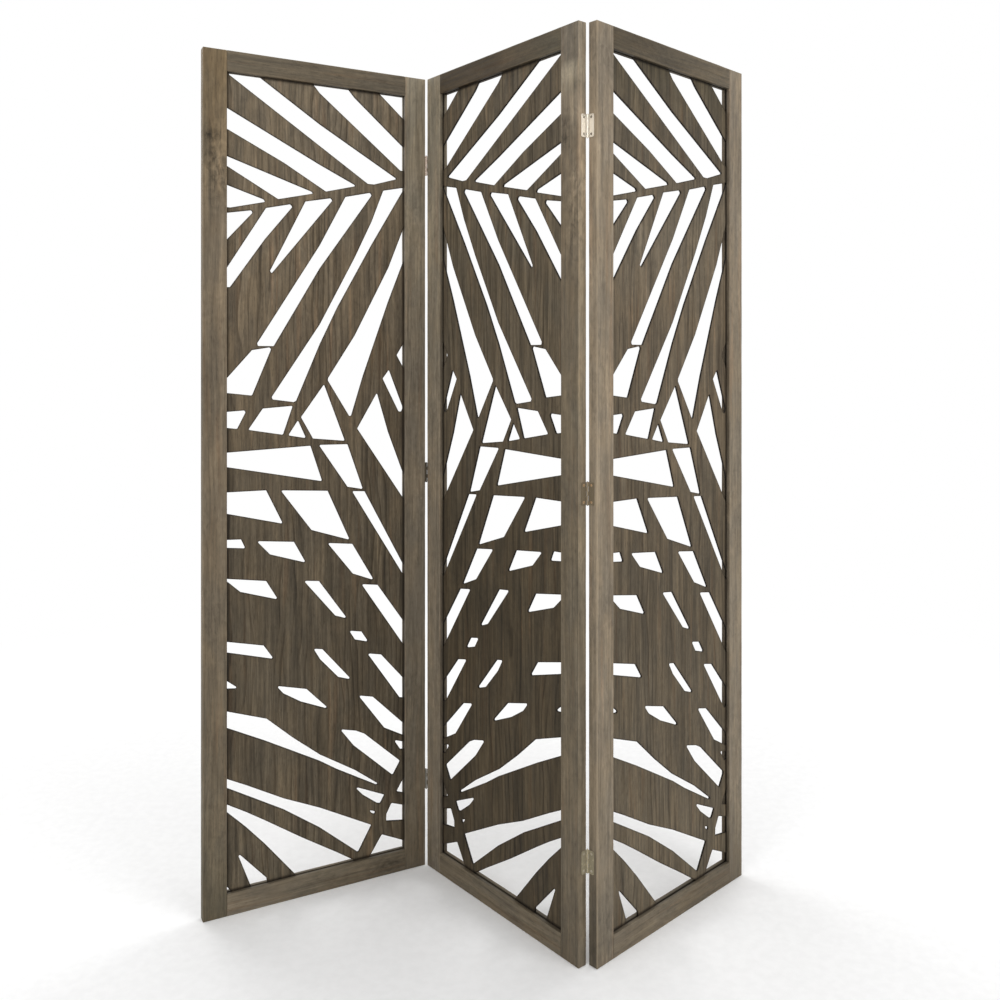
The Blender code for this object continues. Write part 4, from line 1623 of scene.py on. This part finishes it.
@dataclass
class ScreenPanel:
    """One panel: two stiles, two rails and the fretwork board in their grooves.

    Attributes:
        panel: which panel it is.
        stiles: how each stile took its stain.
        rails: how each rail took its stain.
        fret: how the fretwork board took its stain.
        groove_width: the width of the grooves.
        groove_depth: the depth of the grooves.
        tenon_half: half the thickness of the rails' stub tenons.
        stile_ease: how far the stiles' ends are rounded.
        rail_ease: how far the rails' shoulders are rounded.
        face_depth: how near a rail's front face its points lie.
        tenon_clearance: how far a tenon keeps off the groove's floor.
        tenon_radius: how far its long edges are rounded.
        tenon_root: how far it reaches to each side of the shoulder before it leaves it.
        tenon_chamfer: the chamfer at its end, along and across.
        tenon_inset: how far it lies in from the rail's outer edge.
    """

    panel: Panel
    stiles: dict[Side, Staining]
    rails: dict[End, Staining]
    fret: Staining
    groove_width: float = 0.0046
    groove_depth: float = 0.008
    tenon_half: float = 0.002
    stile_ease: float = 0.0012
    rail_ease: float = 0.0004
    face_depth: float = 0.002
    tenon_clearance: float = 0.0003
    tenon_radius: float = 0.0006
    tenon_root: float = 0.001
    tenon_chamfer: tuple[float, float] = (0.0006, 0.0004)
    tenon_inset: float = 0.0004

    @property
    def axes(self) -> PanelAxes:
        """Where the panel stands."""
        return PanelAxes.of(self.panel)

    def build(self, finishes: "ScreenFinishes") -> list[Piece]:
        """Builds and dresses the panel.

        Args:
            finishes: the screen's materials.

        Returns:
            Its pieces.
        """
        pieces = [self.stile(side, finishes) for side in Side]
        pieces += [self.rail(end, finishes) for end in End]
        return [*pieces, self.fretwork(finishes)]

    def stile(self, side: Side, finishes: "ScreenFinishes") -> Piece:
        """An upright, as a board from its outer edge inwards and from the floor up.

        Args:
            side: which upright it is.
            finishes: the screen's materials.

        Returns:
            The piece.
        """
        node = f"{self.panel.value}_panel_{side.word}_stile"
        low, high = self.axes.extent(node)
        stain = self.stiles[side]
        width, thickness, length = high - low
        section = BoardSection(width, thickness, self.groove_width, self.groove_depth, stain.rubbed)
        shape = Board(stain, section, length, self.stile_ease).surface()
        a, b, along = shape.places.T
        across = high[0] - a if side is Side.RIGHT else low[0] + a
        places = np.stack([across, b + (low[1] + high[1]) / 2, low[2] + along], axis=1)
        shape.places = self.axes.to_world(places)
        woods = [finishes.frame, finishes.board_end]
        return dressed(shape, node, self.panel, woods, WOOD_SHARP)

    def rail(self, end: End, finishes: "ScreenFinishes") -> Piece:
        """A crosspiece, as a board from its outer edge inwards, between two stub tenons.

        Args:
            end: which crosspiece it is.
            finishes: the screen's materials.

        Returns:
            The piece.
        """
        node = f"{self.panel.value}_panel_{end.word}_rail"
        points = self.axes.to_panel(node_points(node))
        low, high = points.min(axis=0), points.max(axis=0)
        face = points[np.abs(points[:, 1] - low[1]) < self.face_depth]
        shoulder = np.abs(face[:, 0]).max()
        stain = self.rails[end]
        _, thickness, width = high - low
        section = BoardSection(width, thickness, self.groove_width, self.groove_depth, stain.rubbed)
        board = Board(stain, section, 2 * shoulder, self.rail_ease)
        shape = board.surface()
        for side in Side:
            shape = shape.joined(self.tenon(board, side, shoulder, high[0]))
        a, b, along = shape.places.T
        up = high[2] - a if end is End.TOP else low[2] + a
        places = np.stack([along - shoulder, b + (low[1] + high[1]) / 2, up], axis=1)
        shape.places = self.axes.to_world(places)
        woods = [finishes.frame, finishes.board_end]
        return dressed(shape, node, self.panel, woods, WOOD_SHARP)

    def tenon(self, board: Board, side: Side, shoulder: float, reach: float) -> Surface:
        """A rail's stub tenon: a rounded rectangle carried out from just inside the shoulder.

        Args:
            board: the rail.
            side: which end it is at.
            shoulder: how far the shoulder is from the panel's middle.
            reach: how far the tenon's end is.

        Returns:
            The surface in the rail's board axes.
        """
        width = board.section.width - self.groove_depth - self.tenon_clearance
        quarter, half = np.pi / 2, self.tenon_half
        section = BoardSection(width, 2 * half, 0.0, 0.0, arris_steps=4)
        corners = [((0.0, -half), 2), ((width, -half), 3), ((width, half), 0), ((0.0, half), 1)]
        arrises = [section.arris(corner, turns * quarter) for corner, turns in corners]
        outline = np.concatenate(arrises)
        flat = outline[:, :2] + self.tenon_radius * outline[:, 2:4]
        flat[:, 0] = np.maximum(flat[:, 0], self.tenon_inset)
        root, (chamfer, inward) = self.tenon_root, self.tenon_chamfer
        stations = np.array([shoulder - root, shoulder + root, reach - chamfer, reach])
        shrink = np.array([0.0, 0.0, 0.0, inward])
        outlines = flat[None] - shrink[:, None, None] * outline[None, :, 4:6]
        shape = carried(outlines, stations if side is Side.RIGHT else -stations)
        shape.places[:, 2] += shoulder
        shape.values = board.staining.worn(shape.places, 2 * shoulder, np.zeros(len(shape.places)))
        shape.second_caps = True
        return shape.outward()

    def fretwork(self, finishes: "ScreenFinishes") -> Piece:
        """The palm-leaf board.

        Args:
            finishes: the screen's materials.

        Returns:
            The piece.
        """
        board = FretBoard(self.panel, self.fret)
        shape = board.surface(self.axes)
        shape.places = self.axes.to_world(shape.places)
        woods = [finishes.infill, finishes.cut_edge]
        return dressed(shape, board.node, self.panel, woods, FRET_SHARP)


@dataclass(frozen=True)
class HingeLook:
    """The metals of one hinge.

    Attributes:
        leaves: its leaves and knuckles.
        pin: its pin.
        screws: its screws.
    """

    leaves: AgedMetal
    pin: AgedMetal
    screws: AgedMetal


# The rings of a pin: those of each domed head, the first of them at an angle that leaves a small
# flat, and those of the shank between the heads.
DOME_START, DOME_RINGS, SHANK_RINGS = 0.06, 7, 20
# Under a pin's head the rim has this share of the head's radius and lies this share of the head's
# height above the neck. The neck is this much wider than the shank, and flares over this length.
RIM_RADIUS, RIM_HEIGHT, NECK_RADIUS, NECK_FLARE = 0.97, 0.1, 1.02, 0.0002
# A screw has so many points in each ring and so many rings in its head and its thread. The head's
# first and last ring lie at these shares of its radius.
SCREW_POINTS, HEAD_RINGS, THREAD_RINGS, HEAD_SHARES = 48, 16, 36, (0.04, 0.97)
# The width over which the walls of a screw's recess slope, in metres.
RECESS_SLOPE = 0.00012
# The cone below a screw's crown, as shares of the head's radius and of its depth. All of it lies
# the cone's lift higher, and the thread begins at the neck's share of the depth.
CONE = ((1.0, 0.12), (0.985, 0.2), (0.7, 0.55), (0.42, 0.9), (0.34, 1.0))
CONE_LIFT, NECK_SHARE = 0.1, 1.15
# A screw's tip, as shares of its core's radius and distances from its end, in metres.
TIP = ((0.75, 0.001), (0.4, 0.0005), (0.08, 0.0))


@dataclass
class ButtHinge:
    """A small butt hinge between the middle panel and an outer one.

    Attributes:
        side: which pair of panels it joins.
        row: its height.
        look: its metals.
        leaf_ease: the width of the eased edges of its leaves.
        head_radius: the radius of its screw heads.
        head_depth: how deep these are countersunk.
        crown: how far a head's middle stands above its rim.
        recess: the reach and half width of a head's cross recess, and its depth.
        knuckle_radius: the radius of its knuckles, which are rubbed bright.
        rubbing: where the rubbing ends and over how far it fades, in knuckle radii.
        bevel_angle: the angle, in degrees, past which an edge of a leaf is eased.
        dome_height: the share of its pin's head that the dome takes.
        core_share: the share of the head's radius within which the pin's points are its shank's.
        smooth_run: how far its shank's rings keep off the heads.
        round_steps: the points in each ring of the pin.
        shank_radius: the radius of a screw's core.
        thread: how far its thread stands out.
        pitch: how far the thread climbs in a turn.
        tip_length: how long its tip is.
    """

    side: Side
    row: HingeRow
    look: HingeLook
    leaf_ease: float = 0.00016
    head_radius: float = 0.0025
    head_depth: float = 0.0013
    crown: float = 0.00025
    recess: tuple[float, float, float] = (0.0013, 0.00032, 0.0007)
    knuckle_radius: float = 0.0018
    rubbing: tuple[float, float] = (1.3, 0.25)
    bevel_angle: float = 50.0
    dome_height: float = 0.6
    core_share: float = 0.8
    smooth_run: float = 0.002
    round_steps: int = 32
    shank_radius: float = 0.0008
    thread: float = 0.00028
    pitch: float = 0.0011
    tip_length: float = 0.0015

    @property
    def stem(self) -> str:
        """The first words of its nodes' names."""
        return f"{self.side.word}_hinge_{self.row.value}"

    @property
    def axis(self) -> Floats:
        """The x and y of its pin's axis."""
        pin = node_points(f"{self.stem}_pin")
        return (pin.min(axis=0) + pin.max(axis=0))[:2] / 2

    def panel_of(self, leaf: Leaf) -> Panel:
        """The panel that a leaf is screwed to.

        Args:
            leaf: the leaf.

        Returns:
            The panel.
        """
        if leaf is Leaf.FIXED:
            return Panel.MIDDLE
        return Panel.LEFT if self.side is Side.LEFT else Panel.RIGHT

    def build(self) -> list[Piece]:
        """Builds and dresses the hinge.

        Returns:
            Its pieces.
        """
        plating = self.look.leaves.material(self.axis)
        screw_metal = self.look.screws.material()
        pieces = [self.pin(self.look.pin.material())]
        for leaf in Leaf:
            pieces.append(self.leaf(leaf, plating))
            pieces += [self.screw(leaf, end, screw_metal) for end in ("lower", "upper")]
        return pieces

    def leaf(self, leaf: Leaf, metal: Material) -> Piece:
        """A leaf with its knuckles: the frame node's own shape, joined up and with its edges eased.

        Where the rubbing ends at e and fades over f, it is (e - d / r) / f, kept from 0 to 1, at a
        distance d from the pin's axis, with r the knuckles' radius.

        Args:
            leaf: which leaf it is.
            metal: its material.

        Returns:
            The piece.
        """
        node = f"{self.stem}_{leaf.value}_leaf"
        places, triangles = welded_node(node)
        away = np.linalg.norm(places[:, :2] - self.axis, axis=1) / self.knuckle_radius
        end, fade = self.rubbing
        wear = np.clip((end - away) / fade, 0, 1)
        shape = Surface(places, triangles=triangles, values={WEAR: wear})
        piece = dressed(shape, node, self.panel_of(leaf), [metal], LEAF_SHARP)
        bevel = piece.modifiers.new("eased_edges", "BEVEL")
        bevel.width = self.leaf_ease
        bevel.segments = 2
        bevel.limit_method = "ANGLE"
        bevel.angle_limit = math.radians(self.bevel_angle)
        return piece

    def pin(self, metal: Material) -> Piece:
        """The pin, turned about its axis, with a domed head at each end.

        Its profile is a quarter ellipse over each head, and a straight shank between them. The ring
        at radius r and height z has the points (r cos t, r sin t, z).

        Args:
            metal: its material.

        Returns:
            The piece.
        """
        node = f"{self.stem}_pin"
        points = node_points(node)
        low, high = points.min(axis=0), points.max(axis=0)
        middle, head = (low + high) / 2, (high[0] - low[0]) / 2
        across = np.linalg.norm(points[:, :2] - middle[:2], axis=1)
        inner = across < self.core_share * head
        shank = across[inner].max()
        neck = np.abs(points[inner, 2] - middle[2]).max()
        reach = (high[2] - low[2]) / 2
        turn = np.linspace(DOME_START, np.pi / 2, DOME_RINGS)
        fall = self.dome_height * (reach - neck) * (1 - np.cos(turn))
        dome = np.stack([head * np.sin(turn), reach - fall], axis=1)
        under = np.array(
            [
                [head * RIM_RADIUS, neck + RIM_HEIGHT * (reach - neck)],
                [shank * NECK_RADIUS, neck],
                [shank, neck - NECK_FLARE],
            ]
        )
        top = np.concatenate([dome, under])
        heights = np.linspace(neck - self.smooth_run, -neck + self.smooth_run, SHANK_RINGS)
        between = np.stack([np.full(len(heights), shank), heights], axis=1)
        profile = np.concatenate([top, between, (top * [1, -1])[::-1]])
        angles = np.linspace(0, 2 * np.pi, self.round_steps, endpoint=False)
        circle = np.stack([np.cos(angles), np.sin(angles)], axis=1)
        shape = carried(profile[:, 0, None, None] * circle[None], profile[:, 1])
        shape.places = shape.places + middle
        return dressed(shape, node, Panel.MIDDLE, [metal], PIN_SHARP)

    def screw_profile(self, length: float) -> tuple[Floats, Floats, Floats]:
        """A screw's radii and depths below the crown of its head, on a grid of rings and angles.

        The head falls from its crown with the square of the radius, less the cross recess, whose
        depth is full where the place is in either arm of the cross. Below the rim comes a cone,
        then a shank whose radius is core + thread times a triangle wave of angle + depth / pitch.

        Args:
            length: the screw's length.

        Returns:
            The radii, the depths and the angles.
        """
        angles = np.linspace(0, 2 * np.pi, SCREW_POINTS, endpoint=False)
        ring = np.ones_like(angles)
        top = np.linspace(*HEAD_SHARES, HEAD_RINGS)[:, None] * self.head_radius * ring
        x, y = np.abs(top * np.cos(angles)), np.abs(top * np.sin(angles))
        reach, half, depth = self.recess

        def arm(long: Floats, wide: Floats) -> Floats:
            """How far a place is inside one arm, from 0 to 1."""
            lengthwise = np.clip((reach - long) / RECESS_SLOPE, 0, 1)
            return lengthwise * np.clip((half - wide) / RECESS_SLOPE, 0, 1)

        cross = np.maximum(arm(x, y), arm(y, x))
        top_depth = self.crown * (top / self.head_radius) ** 2 + depth * cross
        cone = np.array(CONE)
        cone_radius = cone[:, :1] * self.head_radius * ring
        cone_depth = (self.crown + (cone[:, 1:] - CONE_LIFT) * self.head_depth) * ring
        neck = self.crown + self.head_depth * NECK_SHARE
        down = np.linspace(neck, length - self.tip_length, THREAD_RINGS)[:, None]
        wave = np.abs(2 * ((angles / (2 * np.pi) + down / self.pitch) % 1) - 1)
        body_radius = self.shank_radius + self.thread * wave
        tip = np.array(TIP)
        tip_radius = tip[:, :1] * self.shank_radius * ring
        tip_depth = (length - tip[:, 1:]) * ring
        radii = np.concatenate([top, cone_radius, body_radius, tip_radius])
        depths = np.concatenate([top_depth, cone_depth, down * ring, tip_depth])
        return radii, depths, angles

    def screw(self, leaf: Leaf, end: str, metal: Material) -> Piece:
        """A countersunk screw, its head flush with the leaf and turned by chance.

        Args:
            leaf: the leaf that it holds.
            end: lower or upper.
            metal: its material.

        Returns:
            The piece.
        """
        panel = self.panel_of(leaf)
        axes = PanelAxes.of(panel)
        node = f"{self.stem}_{leaf.value}_screw_{end}"
        low, high = axes.extent(node)
        outward = self.side.value if leaf is Leaf.FIXED else -self.side.value
        crown = high[0] if outward > 0 else low[0]
        radii, depths, angles = self.screw_profile(high[0] - low[0])
        turned = angles + np.random.default_rng(sum(node.encode())).uniform(0, np.pi)
        outlines = np.stack([radii * np.cos(turned), radii * np.sin(turned)], axis=-1)
        shape = carried(outlines, depths)
        through, up, depth = shape.places.T
        middle = (low + high) / 2
        shape.places = axes.to_world(
            np.stack([crown - outward * depth, middle[1] + through, middle[2] + up], axis=1)
        )
        return dressed(shape, node, panel, [metal], SCREW_SHARP)


@dataclass
class ScreenFinishes:
    """The screen's woods, made once and shared."""

    frame: Material = field(default_factory=lambda: FRAME_STAIN.material())
    board_end: Material = field(default_factory=lambda: BOARD_END.material())
    infill: Material = field(default_factory=lambda: FRET_STAIN.material())
    cut_edge: Material = field(default_factory=lambda: CUT_EDGE.material())


# Its light rim on the arrises is rubbed-through stain and a painted highlight.
FRAME_STAIN = StainedWood(
    "frame_stain_grey_brown", (113, 101, 84),
    (0.009, 5.0), 0.25, (0.0034, 0.12), 0.19, 2.4, 0.35, 0.45,
    (160, 144, 120), 0.62, 0.66,
)
FRET_STAIN = StainedWood(
    "fret_stain_dark_brown", (103, 91, 74),
    (0.014, 5.0), 0.66, (0.0038, 0.13), 0.29, 2.0, 0.45, 0.5,
    (34, 27, 21), 0.8, 0.7, (0.1885, 0.809),
)
BOARD_END = CutWood("board_end_grain", (92, 80, 64), 0.0022, 0.22)
# The cut-outs' walls are near-black: the char of the cut, darkened further as painted shade.
CUT_EDGE = CutWood("cut_edge_of_fretwork", (24, 18, 13), 0.0007, 0.3)

BRIGHT = AgedMetal("nickel_bright", (246, 238, 224), (204, 191, 171), 0.1, 0.3, 0.6)
BRIGHT_SCREW = AgedMetal("nickel_screw_greyed", (176, 168, 152), (110, 100, 84), 0.5, 0.34)
BROWN = AgedMetal("plating_under_brown_stain", (178, 162, 137), (115, 102, 80), 0.85, 0.42)
COPPERY = AgedMetal("screw_copper_toned", (222, 192, 152), (160, 128, 94), 0.4, 0.36)
OLIVE = AgedMetal("plating_under_olive_stain", (205, 193, 164), (142, 133, 109), 0.75, 0.4)
PALE = AgedMetal("screw_pale", (218, 210, 192), (164, 154, 134), 0.35, 0.34)
ROSY = AgedMetal("plating_rosy", (228, 208, 192), (170, 154, 140), 0.4, 0.36)
DARK = AgedMetal("plating_dark", (94, 86, 71), (66, 59, 50), 0.7, 0.44)
GREY = AgedMetal("plating_grey", (158, 154, 144), (118, 112, 101), 0.5, 0.38)

HINGE_LOOKS = {
    (Side.RIGHT, HingeRow.TOP): HingeLook(BRIGHT, BRIGHT, BRIGHT_SCREW),
    (Side.RIGHT, HingeRow.MIDDLE): HingeLook(BROWN, BROWN, COPPERY),
    (Side.RIGHT, HingeRow.BOTTOM): HingeLook(OLIVE, PALE, PALE),
    (Side.LEFT, HingeRow.TOP): HingeLook(ROSY, ROSY, BRIGHT_SCREW),
    (Side.LEFT, HingeRow.MIDDLE): HingeLook(DARK, DARK, DARK),
    (Side.LEFT, HingeRow.BOTTOM): HingeLook(GREY, GREY, PALE),
}


# The coats lay painted light as well as stain: the right panel is laid lighter, as the side that
# faced the light, and the left panel's right stile lighter, against the shade in its corner.
LEFT_PANEL = ScreenPanel(
    Panel.LEFT,
    {
        Side.LEFT: Staining(
            (
                (0.0, Coat.MOSSY), (0.12, Coat.FULL), (0.45, Coat.EVEN),
                (0.8, Coat.EVEN), (0.95, Coat.WARM),
            ),
            3,
            (
                Smudge(0.018, 1.537, (0.010, 0.010), 0.52, 2.4),
                Smudge(0.014, 1.490, (0.007, 0.022), 0.78, 1.6),
                Smudge(0.032, 1.460, (0.012, 0.040), 1.16, 1.8),
                Smudge(0.008, 0.950, (0.006, 0.120), 0.90),
                Smudge(0.046, 1.450, (0.010, 0.500), 1.22),
                Smudge(0.010, 0.500, (0.014, 0.800), 0.95),
            ),
        ),
        Side.RIGHT: Staining(
            ((0.0, Coat.FULL), (0.3, Coat.GREYED), (0.6, Coat.LIGHT), (1.0, Coat.BLEACHED)),
            5,
            (Smudge(0.042, 0.65, (0.014, 0.45), 0.88),),
            rubbed=0.1,
        ),
    },
    {
        End.TOP: Staining(((0.0, Coat.FULL), (0.4, Coat.DEEP)), 7),
        End.BOTTOM: Staining(
            ((0.0, Coat.GREYED), (0.5, Coat.FULL), (1.0, Coat.DEEP)),
            9,
            (Smudge(0.02, 0.34, (0.012, 0.02), 0.66, 1.0),),
        ),
    },
    Staining(
        (
            (0.0, Coat.FULL), (0.12, Coat.DEEP), (0.4, Coat.DEEP), (0.65, Coat.EVEN),
            (1.0, Coat.LIGHT),
        ),
        11,
    ),
)
MIDDLE_PANEL = ScreenPanel(
    Panel.MIDDLE,
    {
        Side.LEFT: Staining(
            ((0.0, Coat.GREYED), (0.15, Coat.LIGHT), (0.5, Coat.LIGHT), (1.0, Coat.BLEACHED)),
            13,
            rubbed=0.1,
        ),
        Side.RIGHT: Staining(
            (
                (0.0, Coat.DEEP), (0.1, Coat.FULL), (0.6, Coat.FULL), (0.85, Coat.EVEN),
                (0.92, Coat.LIGHT), (0.955, Coat.BLEACHED), (0.961, Coat.ASHEN),
            ),
            15,
            (
                Smudge(0.024, 1.612, (0.018, 0.012), 1.24, 0.6),
                Smudge(0.007, 1.588, (0.007, 0.009), 0.66, 0.4),
                Smudge(0.008, 1.538, (0.009, 0.020), 1.50, 0.6),
                Smudge(0.034, 1.500, (0.010, 0.028), 0.62, 1.4),
                Smudge(0.008, 1.425, (0.009, 0.020), 1.45, 0.8),
                Smudge(0.014, 1.360, (0.010, 0.050), 1.10, 1.2),
                Smudge(0.040, 0.650, (0.011, 0.500), 0.92),
            ),
            (
                (0.05, 1.32), (0.34, 1.4), (0.65, 1.95), (0.86, 1.7), (0.905, 1.3),
                (0.955, 0.95), (0.961, 1.76),
            ),
            0.05,
        ),
    },
    {
        End.TOP: Staining(
            ((0.5, Coat.TARRED), (0.75, Coat.BLACKENED), (1.0, Coat.MOSSY)), 17
        ),
        End.BOTTOM: Staining(((0.0, Coat.FULL),), 19),
    },
    Staining(
        ((0.42, Coat.BLACKENED), (0.62, Coat.DEEP), (0.8, Coat.FULL), (1.0, Coat.DEEP)), 21
    ),
)
RIGHT_PANEL = ScreenPanel(
    Panel.RIGHT,
    {
        Side.LEFT: Staining(
            ((0.0, Coat.GREYED), (0.12, Coat.LIGHT), (0.6, Coat.THIN)),
            23,
            # A light band along the outer edge: rubbed stain and a painted highlight.
            (Smudge(0.002, 1.1, (0.003, 0.6), 1.2),),
            ((0.04, 0.55), (0.15, 0.92), (0.4, 0.98), (0.65, 1.1), (1.0, 0.84)),
            1.0,
        ),
        Side.RIGHT: Staining(
            ((0.0, Coat.FULL), (0.12, Coat.LIGHT), (0.6, Coat.LIGHT), (1.0, Coat.THIN)),
            25,
            (Smudge(0.020, 0.55, (0.050, 0.3), 1.07),),
        ),
    },
    {
        End.TOP: Staining(((0.0, Coat.BLACKENED), (1.0, Coat.DEEP)), 27),
        End.BOTTOM: Staining(((0.0, Coat.GREYED), (0.55, Coat.FULL), (1.0, Coat.DEEP)), 29),
    },
    Staining(
        (
            (0.0, Coat.FULL), (0.35, Coat.DEEP), (0.7, Coat.EVEN), (0.8, Coat.GREYED),
            (0.93, Coat.DEEP), (1.0, Coat.MOSSY),
        ),
        31,
    ),
)


@dataclass
class FoldingScreen:
    """The whole screen: three panels and six hinges."""

    panels: tuple[ScreenPanel, ...] = (LEFT_PANEL, MIDDLE_PANEL, RIGHT_PANEL)

    def build(self) -> None:
        """Builds every panel and hinge."""
        finishes = ScreenFinishes()
        for panel in self.panels:
            for piece in panel.build(finishes):
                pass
        for (side, row), look in HINGE_LOOKS.items():
            for piece in ButtHinge(side, row, look).build():
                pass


@dataclass
class Studio:
    """A pale floor under soft lamps, and the camera where the photograph was taken.

    Attributes:
        eye: the camera's place.
        lens: its focal length on a sensor 36 mm wide, in millimetres.
        shift: how far the picture is shifted, in picture widths.
        floor_radius: how far the floor reaches.
        floor_turns: how many points each ring of it has.
        even_rings: the radii of the first and last evenly spaced ring, and how many there are.
        wider_rings: the radius of the first ring past these, and how many reach the edge.
        floor_drop: how far it lies below the feet.
        floor_fade: the distances between which the floor turns from a lit floor to plain white.
        sky: the strength of the even light from all round.
        lamps: each soft lamp's place, side length and power in watts.
        aim: the place that they all face.
    """

    eye: tuple[float, float, float] = (0.0332, -1.9362, 1.083)
    lens: float = 35.06
    shift: tuple[float, float] = (0.0015, -0.1349)
    floor_radius: float = 9.0
    floor_turns: int = 64
    even_rings: tuple[float, float, int] = (0.05, 3.0, 24)
    wider_rings: tuple[float, int] = (3.2, 10)
    floor_drop: float = 0.0004
    floor_fade: tuple[float, float] = (1.0, 2.6)
    sky: float = 0.70
    lamps: tuple[tuple[tuple[float, float, float], float, float], ...] = (
        ((-2.6, -3.2, 3.4), 2.4, 54.0),
        ((3.2, -2.6, 3.0), 2.4, 56.0),
        ((-3.0, 3.0, 3.2), 2.4, 56.0),
        ((3.0, 3.2, 3.2), 2.4, 56.0),
    )
    aim: tuple[float, float, float] = (0.0, 0.0, 0.85)

    def camera(self) -> None:
        """Sets up the camera, level and looking along +Y."""
        data = bpy.data.cameras.new("camera")
        data.sensor_width = 36.0
        data.lens = self.lens
        data.shift_x, data.shift_y = self.shift
        data.clip_start, data.clip_end = 0.05, 60.0
        seen = bpy.data.objects.new("camera", data)
        seen.location = self.eye
        seen.rotation_euler = (math.pi / 2, 0.0, 0.0)
        bpy.context.scene.collection.objects.link(seen)
        bpy.context.scene.camera = seen

    def floor(self) -> None:
        """Lays the floor: a disc of rings, evenly spaced at first and then ever farther apart.

        A point of ring i at angle t lies at (r cos t, r sin t, -drop). Each point carries how far
        the floor has faded there, (r - from) / (to - from) kept from 0 to 1, by which it turns
        white for the camera and for what shines.
        """
        first, count = self.wider_rings
        wider = np.geomspace(first, self.floor_radius, count)
        radii = np.concatenate([np.linspace(*self.even_rings), wider])
        angles = np.linspace(0, 2 * np.pi, self.floor_turns, endpoint=False)
        flat = radii[:, None, None] * np.stack([np.cos(angles), np.sin(angles)], axis=1)[None]
        shape = carried(flat, np.full(len(radii), -self.floor_drop))
        shape.caps = [np.arange(self.floor_turns)]
        shape.quads = shape.quads[:, ::-1]
        near, far = self.floor_fade
        fade = (np.repeat(radii, self.floor_turns) - near) / (far - near)
        shape.values = {FADE: np.clip(fade, 0, 1)}
        shape.build("studio_floor", [self.floor_material()], FLOOR_SHARP)

    def floor_material(self) -> Material:
        """Near-white matt paint, mixed with plain white where the camera sees it from afar.

        Returns:
            The material.
        """
        recipe = Recipe("studio_paint")
        grit = recipe.noise(recipe.place(), (0.02, 0.02, 0.02), 4.0, 0.6)
        paint = recipe.ramp(grit, [(0.3, (246, 246, 246)), (0.7, (250, 250, 250))])
        recipe.feed(recipe.shader.inputs["Base Color"], paint)
        recipe.feed(recipe.shader.inputs["Roughness"], recipe.ramp(grit, [(0.3, 0.9), (0.7, 1.0)]))
        recipe.shader.inputs["Specular IOR Level"].default_value = 0.0
        recipe.relief(grit, 0.0001, 0.2)
        path = recipe.add("ShaderNodeLightPath")
        seen = recipe.sum("ADD", path.outputs["Is Camera Ray"], path.outputs["Is Glossy Ray"])
        seen = recipe.sum("ADD", seen, path.outputs["Is Transmission Ray"])
        seen = recipe.sum("MINIMUM", seen, 1.0)
        share = recipe.sum("MULTIPLY", seen, recipe.attribute(FADE, "Fac"))
        white = recipe.add("ShaderNodeEmission")
        white.inputs["Strength"].default_value = 1.0
        blend = recipe.add("ShaderNodeMixShader")
        recipe.feed(blend.inputs["Fac"], share)
        recipe.feed(blend.inputs[1], recipe.shader.outputs["BSDF"])
        recipe.feed(blend.inputs[2], white.outputs["Emission"])
        recipe.feed(recipe.out.inputs["Surface"], blend.outputs["Shader"])
        return recipe.material

    def world(self) -> None:
        """Even light from all round, which the camera and shiny things see as plain white."""
        world = bpy.data.worlds.new("studio_world")
        bpy.context.scene.world = world
        world.use_nodes = True
        tree = world.node_tree
        tree.nodes.clear()
        kinds = ("LightPath", "Math", "Math", "MapRange", "Background", "OutputWorld")
        path, total, seen, strength, light, out = (
            tree.nodes.new(f"ShaderNode{kind}") for kind in kinds
        )
        total.operation = seen.operation = "ADD"
        seen.use_clamp = True
        strength.inputs["To Min"].default_value = self.sky
        strength.inputs["To Max"].default_value = 1.0
        light.inputs["Color"].default_value = (1.0, 1.0, 1.0, 1.0)
        for outlet, inlet in (
            (path.outputs["Is Camera Ray"], total.inputs[0]),
            (path.outputs["Is Glossy Ray"], total.inputs[1]),
            (total.outputs[0], seen.inputs[0]),
            (path.outputs["Is Transmission Ray"], seen.inputs[1]),
            (seen.outputs[0], strength.inputs["Value"]),
            (strength.outputs["Result"], light.inputs["Strength"]),
            (light.outputs["Background"], out.inputs["Surface"]),
        ):
            tree.links.new(outlet, inlet)

    def lights(self) -> None:
        """Hangs the soft lamps, each facing the screen's middle."""
        for index, (place, side, power) in enumerate(self.lamps):
            data = bpy.data.lights.new(f"soft_lamp_{index}", "AREA")
            data.size = side
            data.energy = power
            lamp = bpy.data.objects.new(f"soft_lamp_{index}", data)
            lamp.location = place
            across, deep, high = np.subtract(self.aim, place)
            tilt = math.atan2(math.hypot(across, deep), -high)
            lamp.rotation_euler = (tilt, 0.0, math.atan2(-across, deep))
            lamp.visible_camera = False
            bpy.context.scene.collection.objects.link(lamp)

    def build(self) -> None:
        """Sets the stage."""
        self.floor()
        self.world()
        self.lights()
        bpy.context.scene.view_settings.view_transform = "Standard"


def main() -> None:
    """Sets up the camera, dresses the screen and lights it."""
    logging.basicConfig(level=logging.INFO, format="%(message)s")
    studio = Studio()
    studio.camera()
    FoldingScreen().build()
    studio.build()


if __name__ == "__main__":
    main()
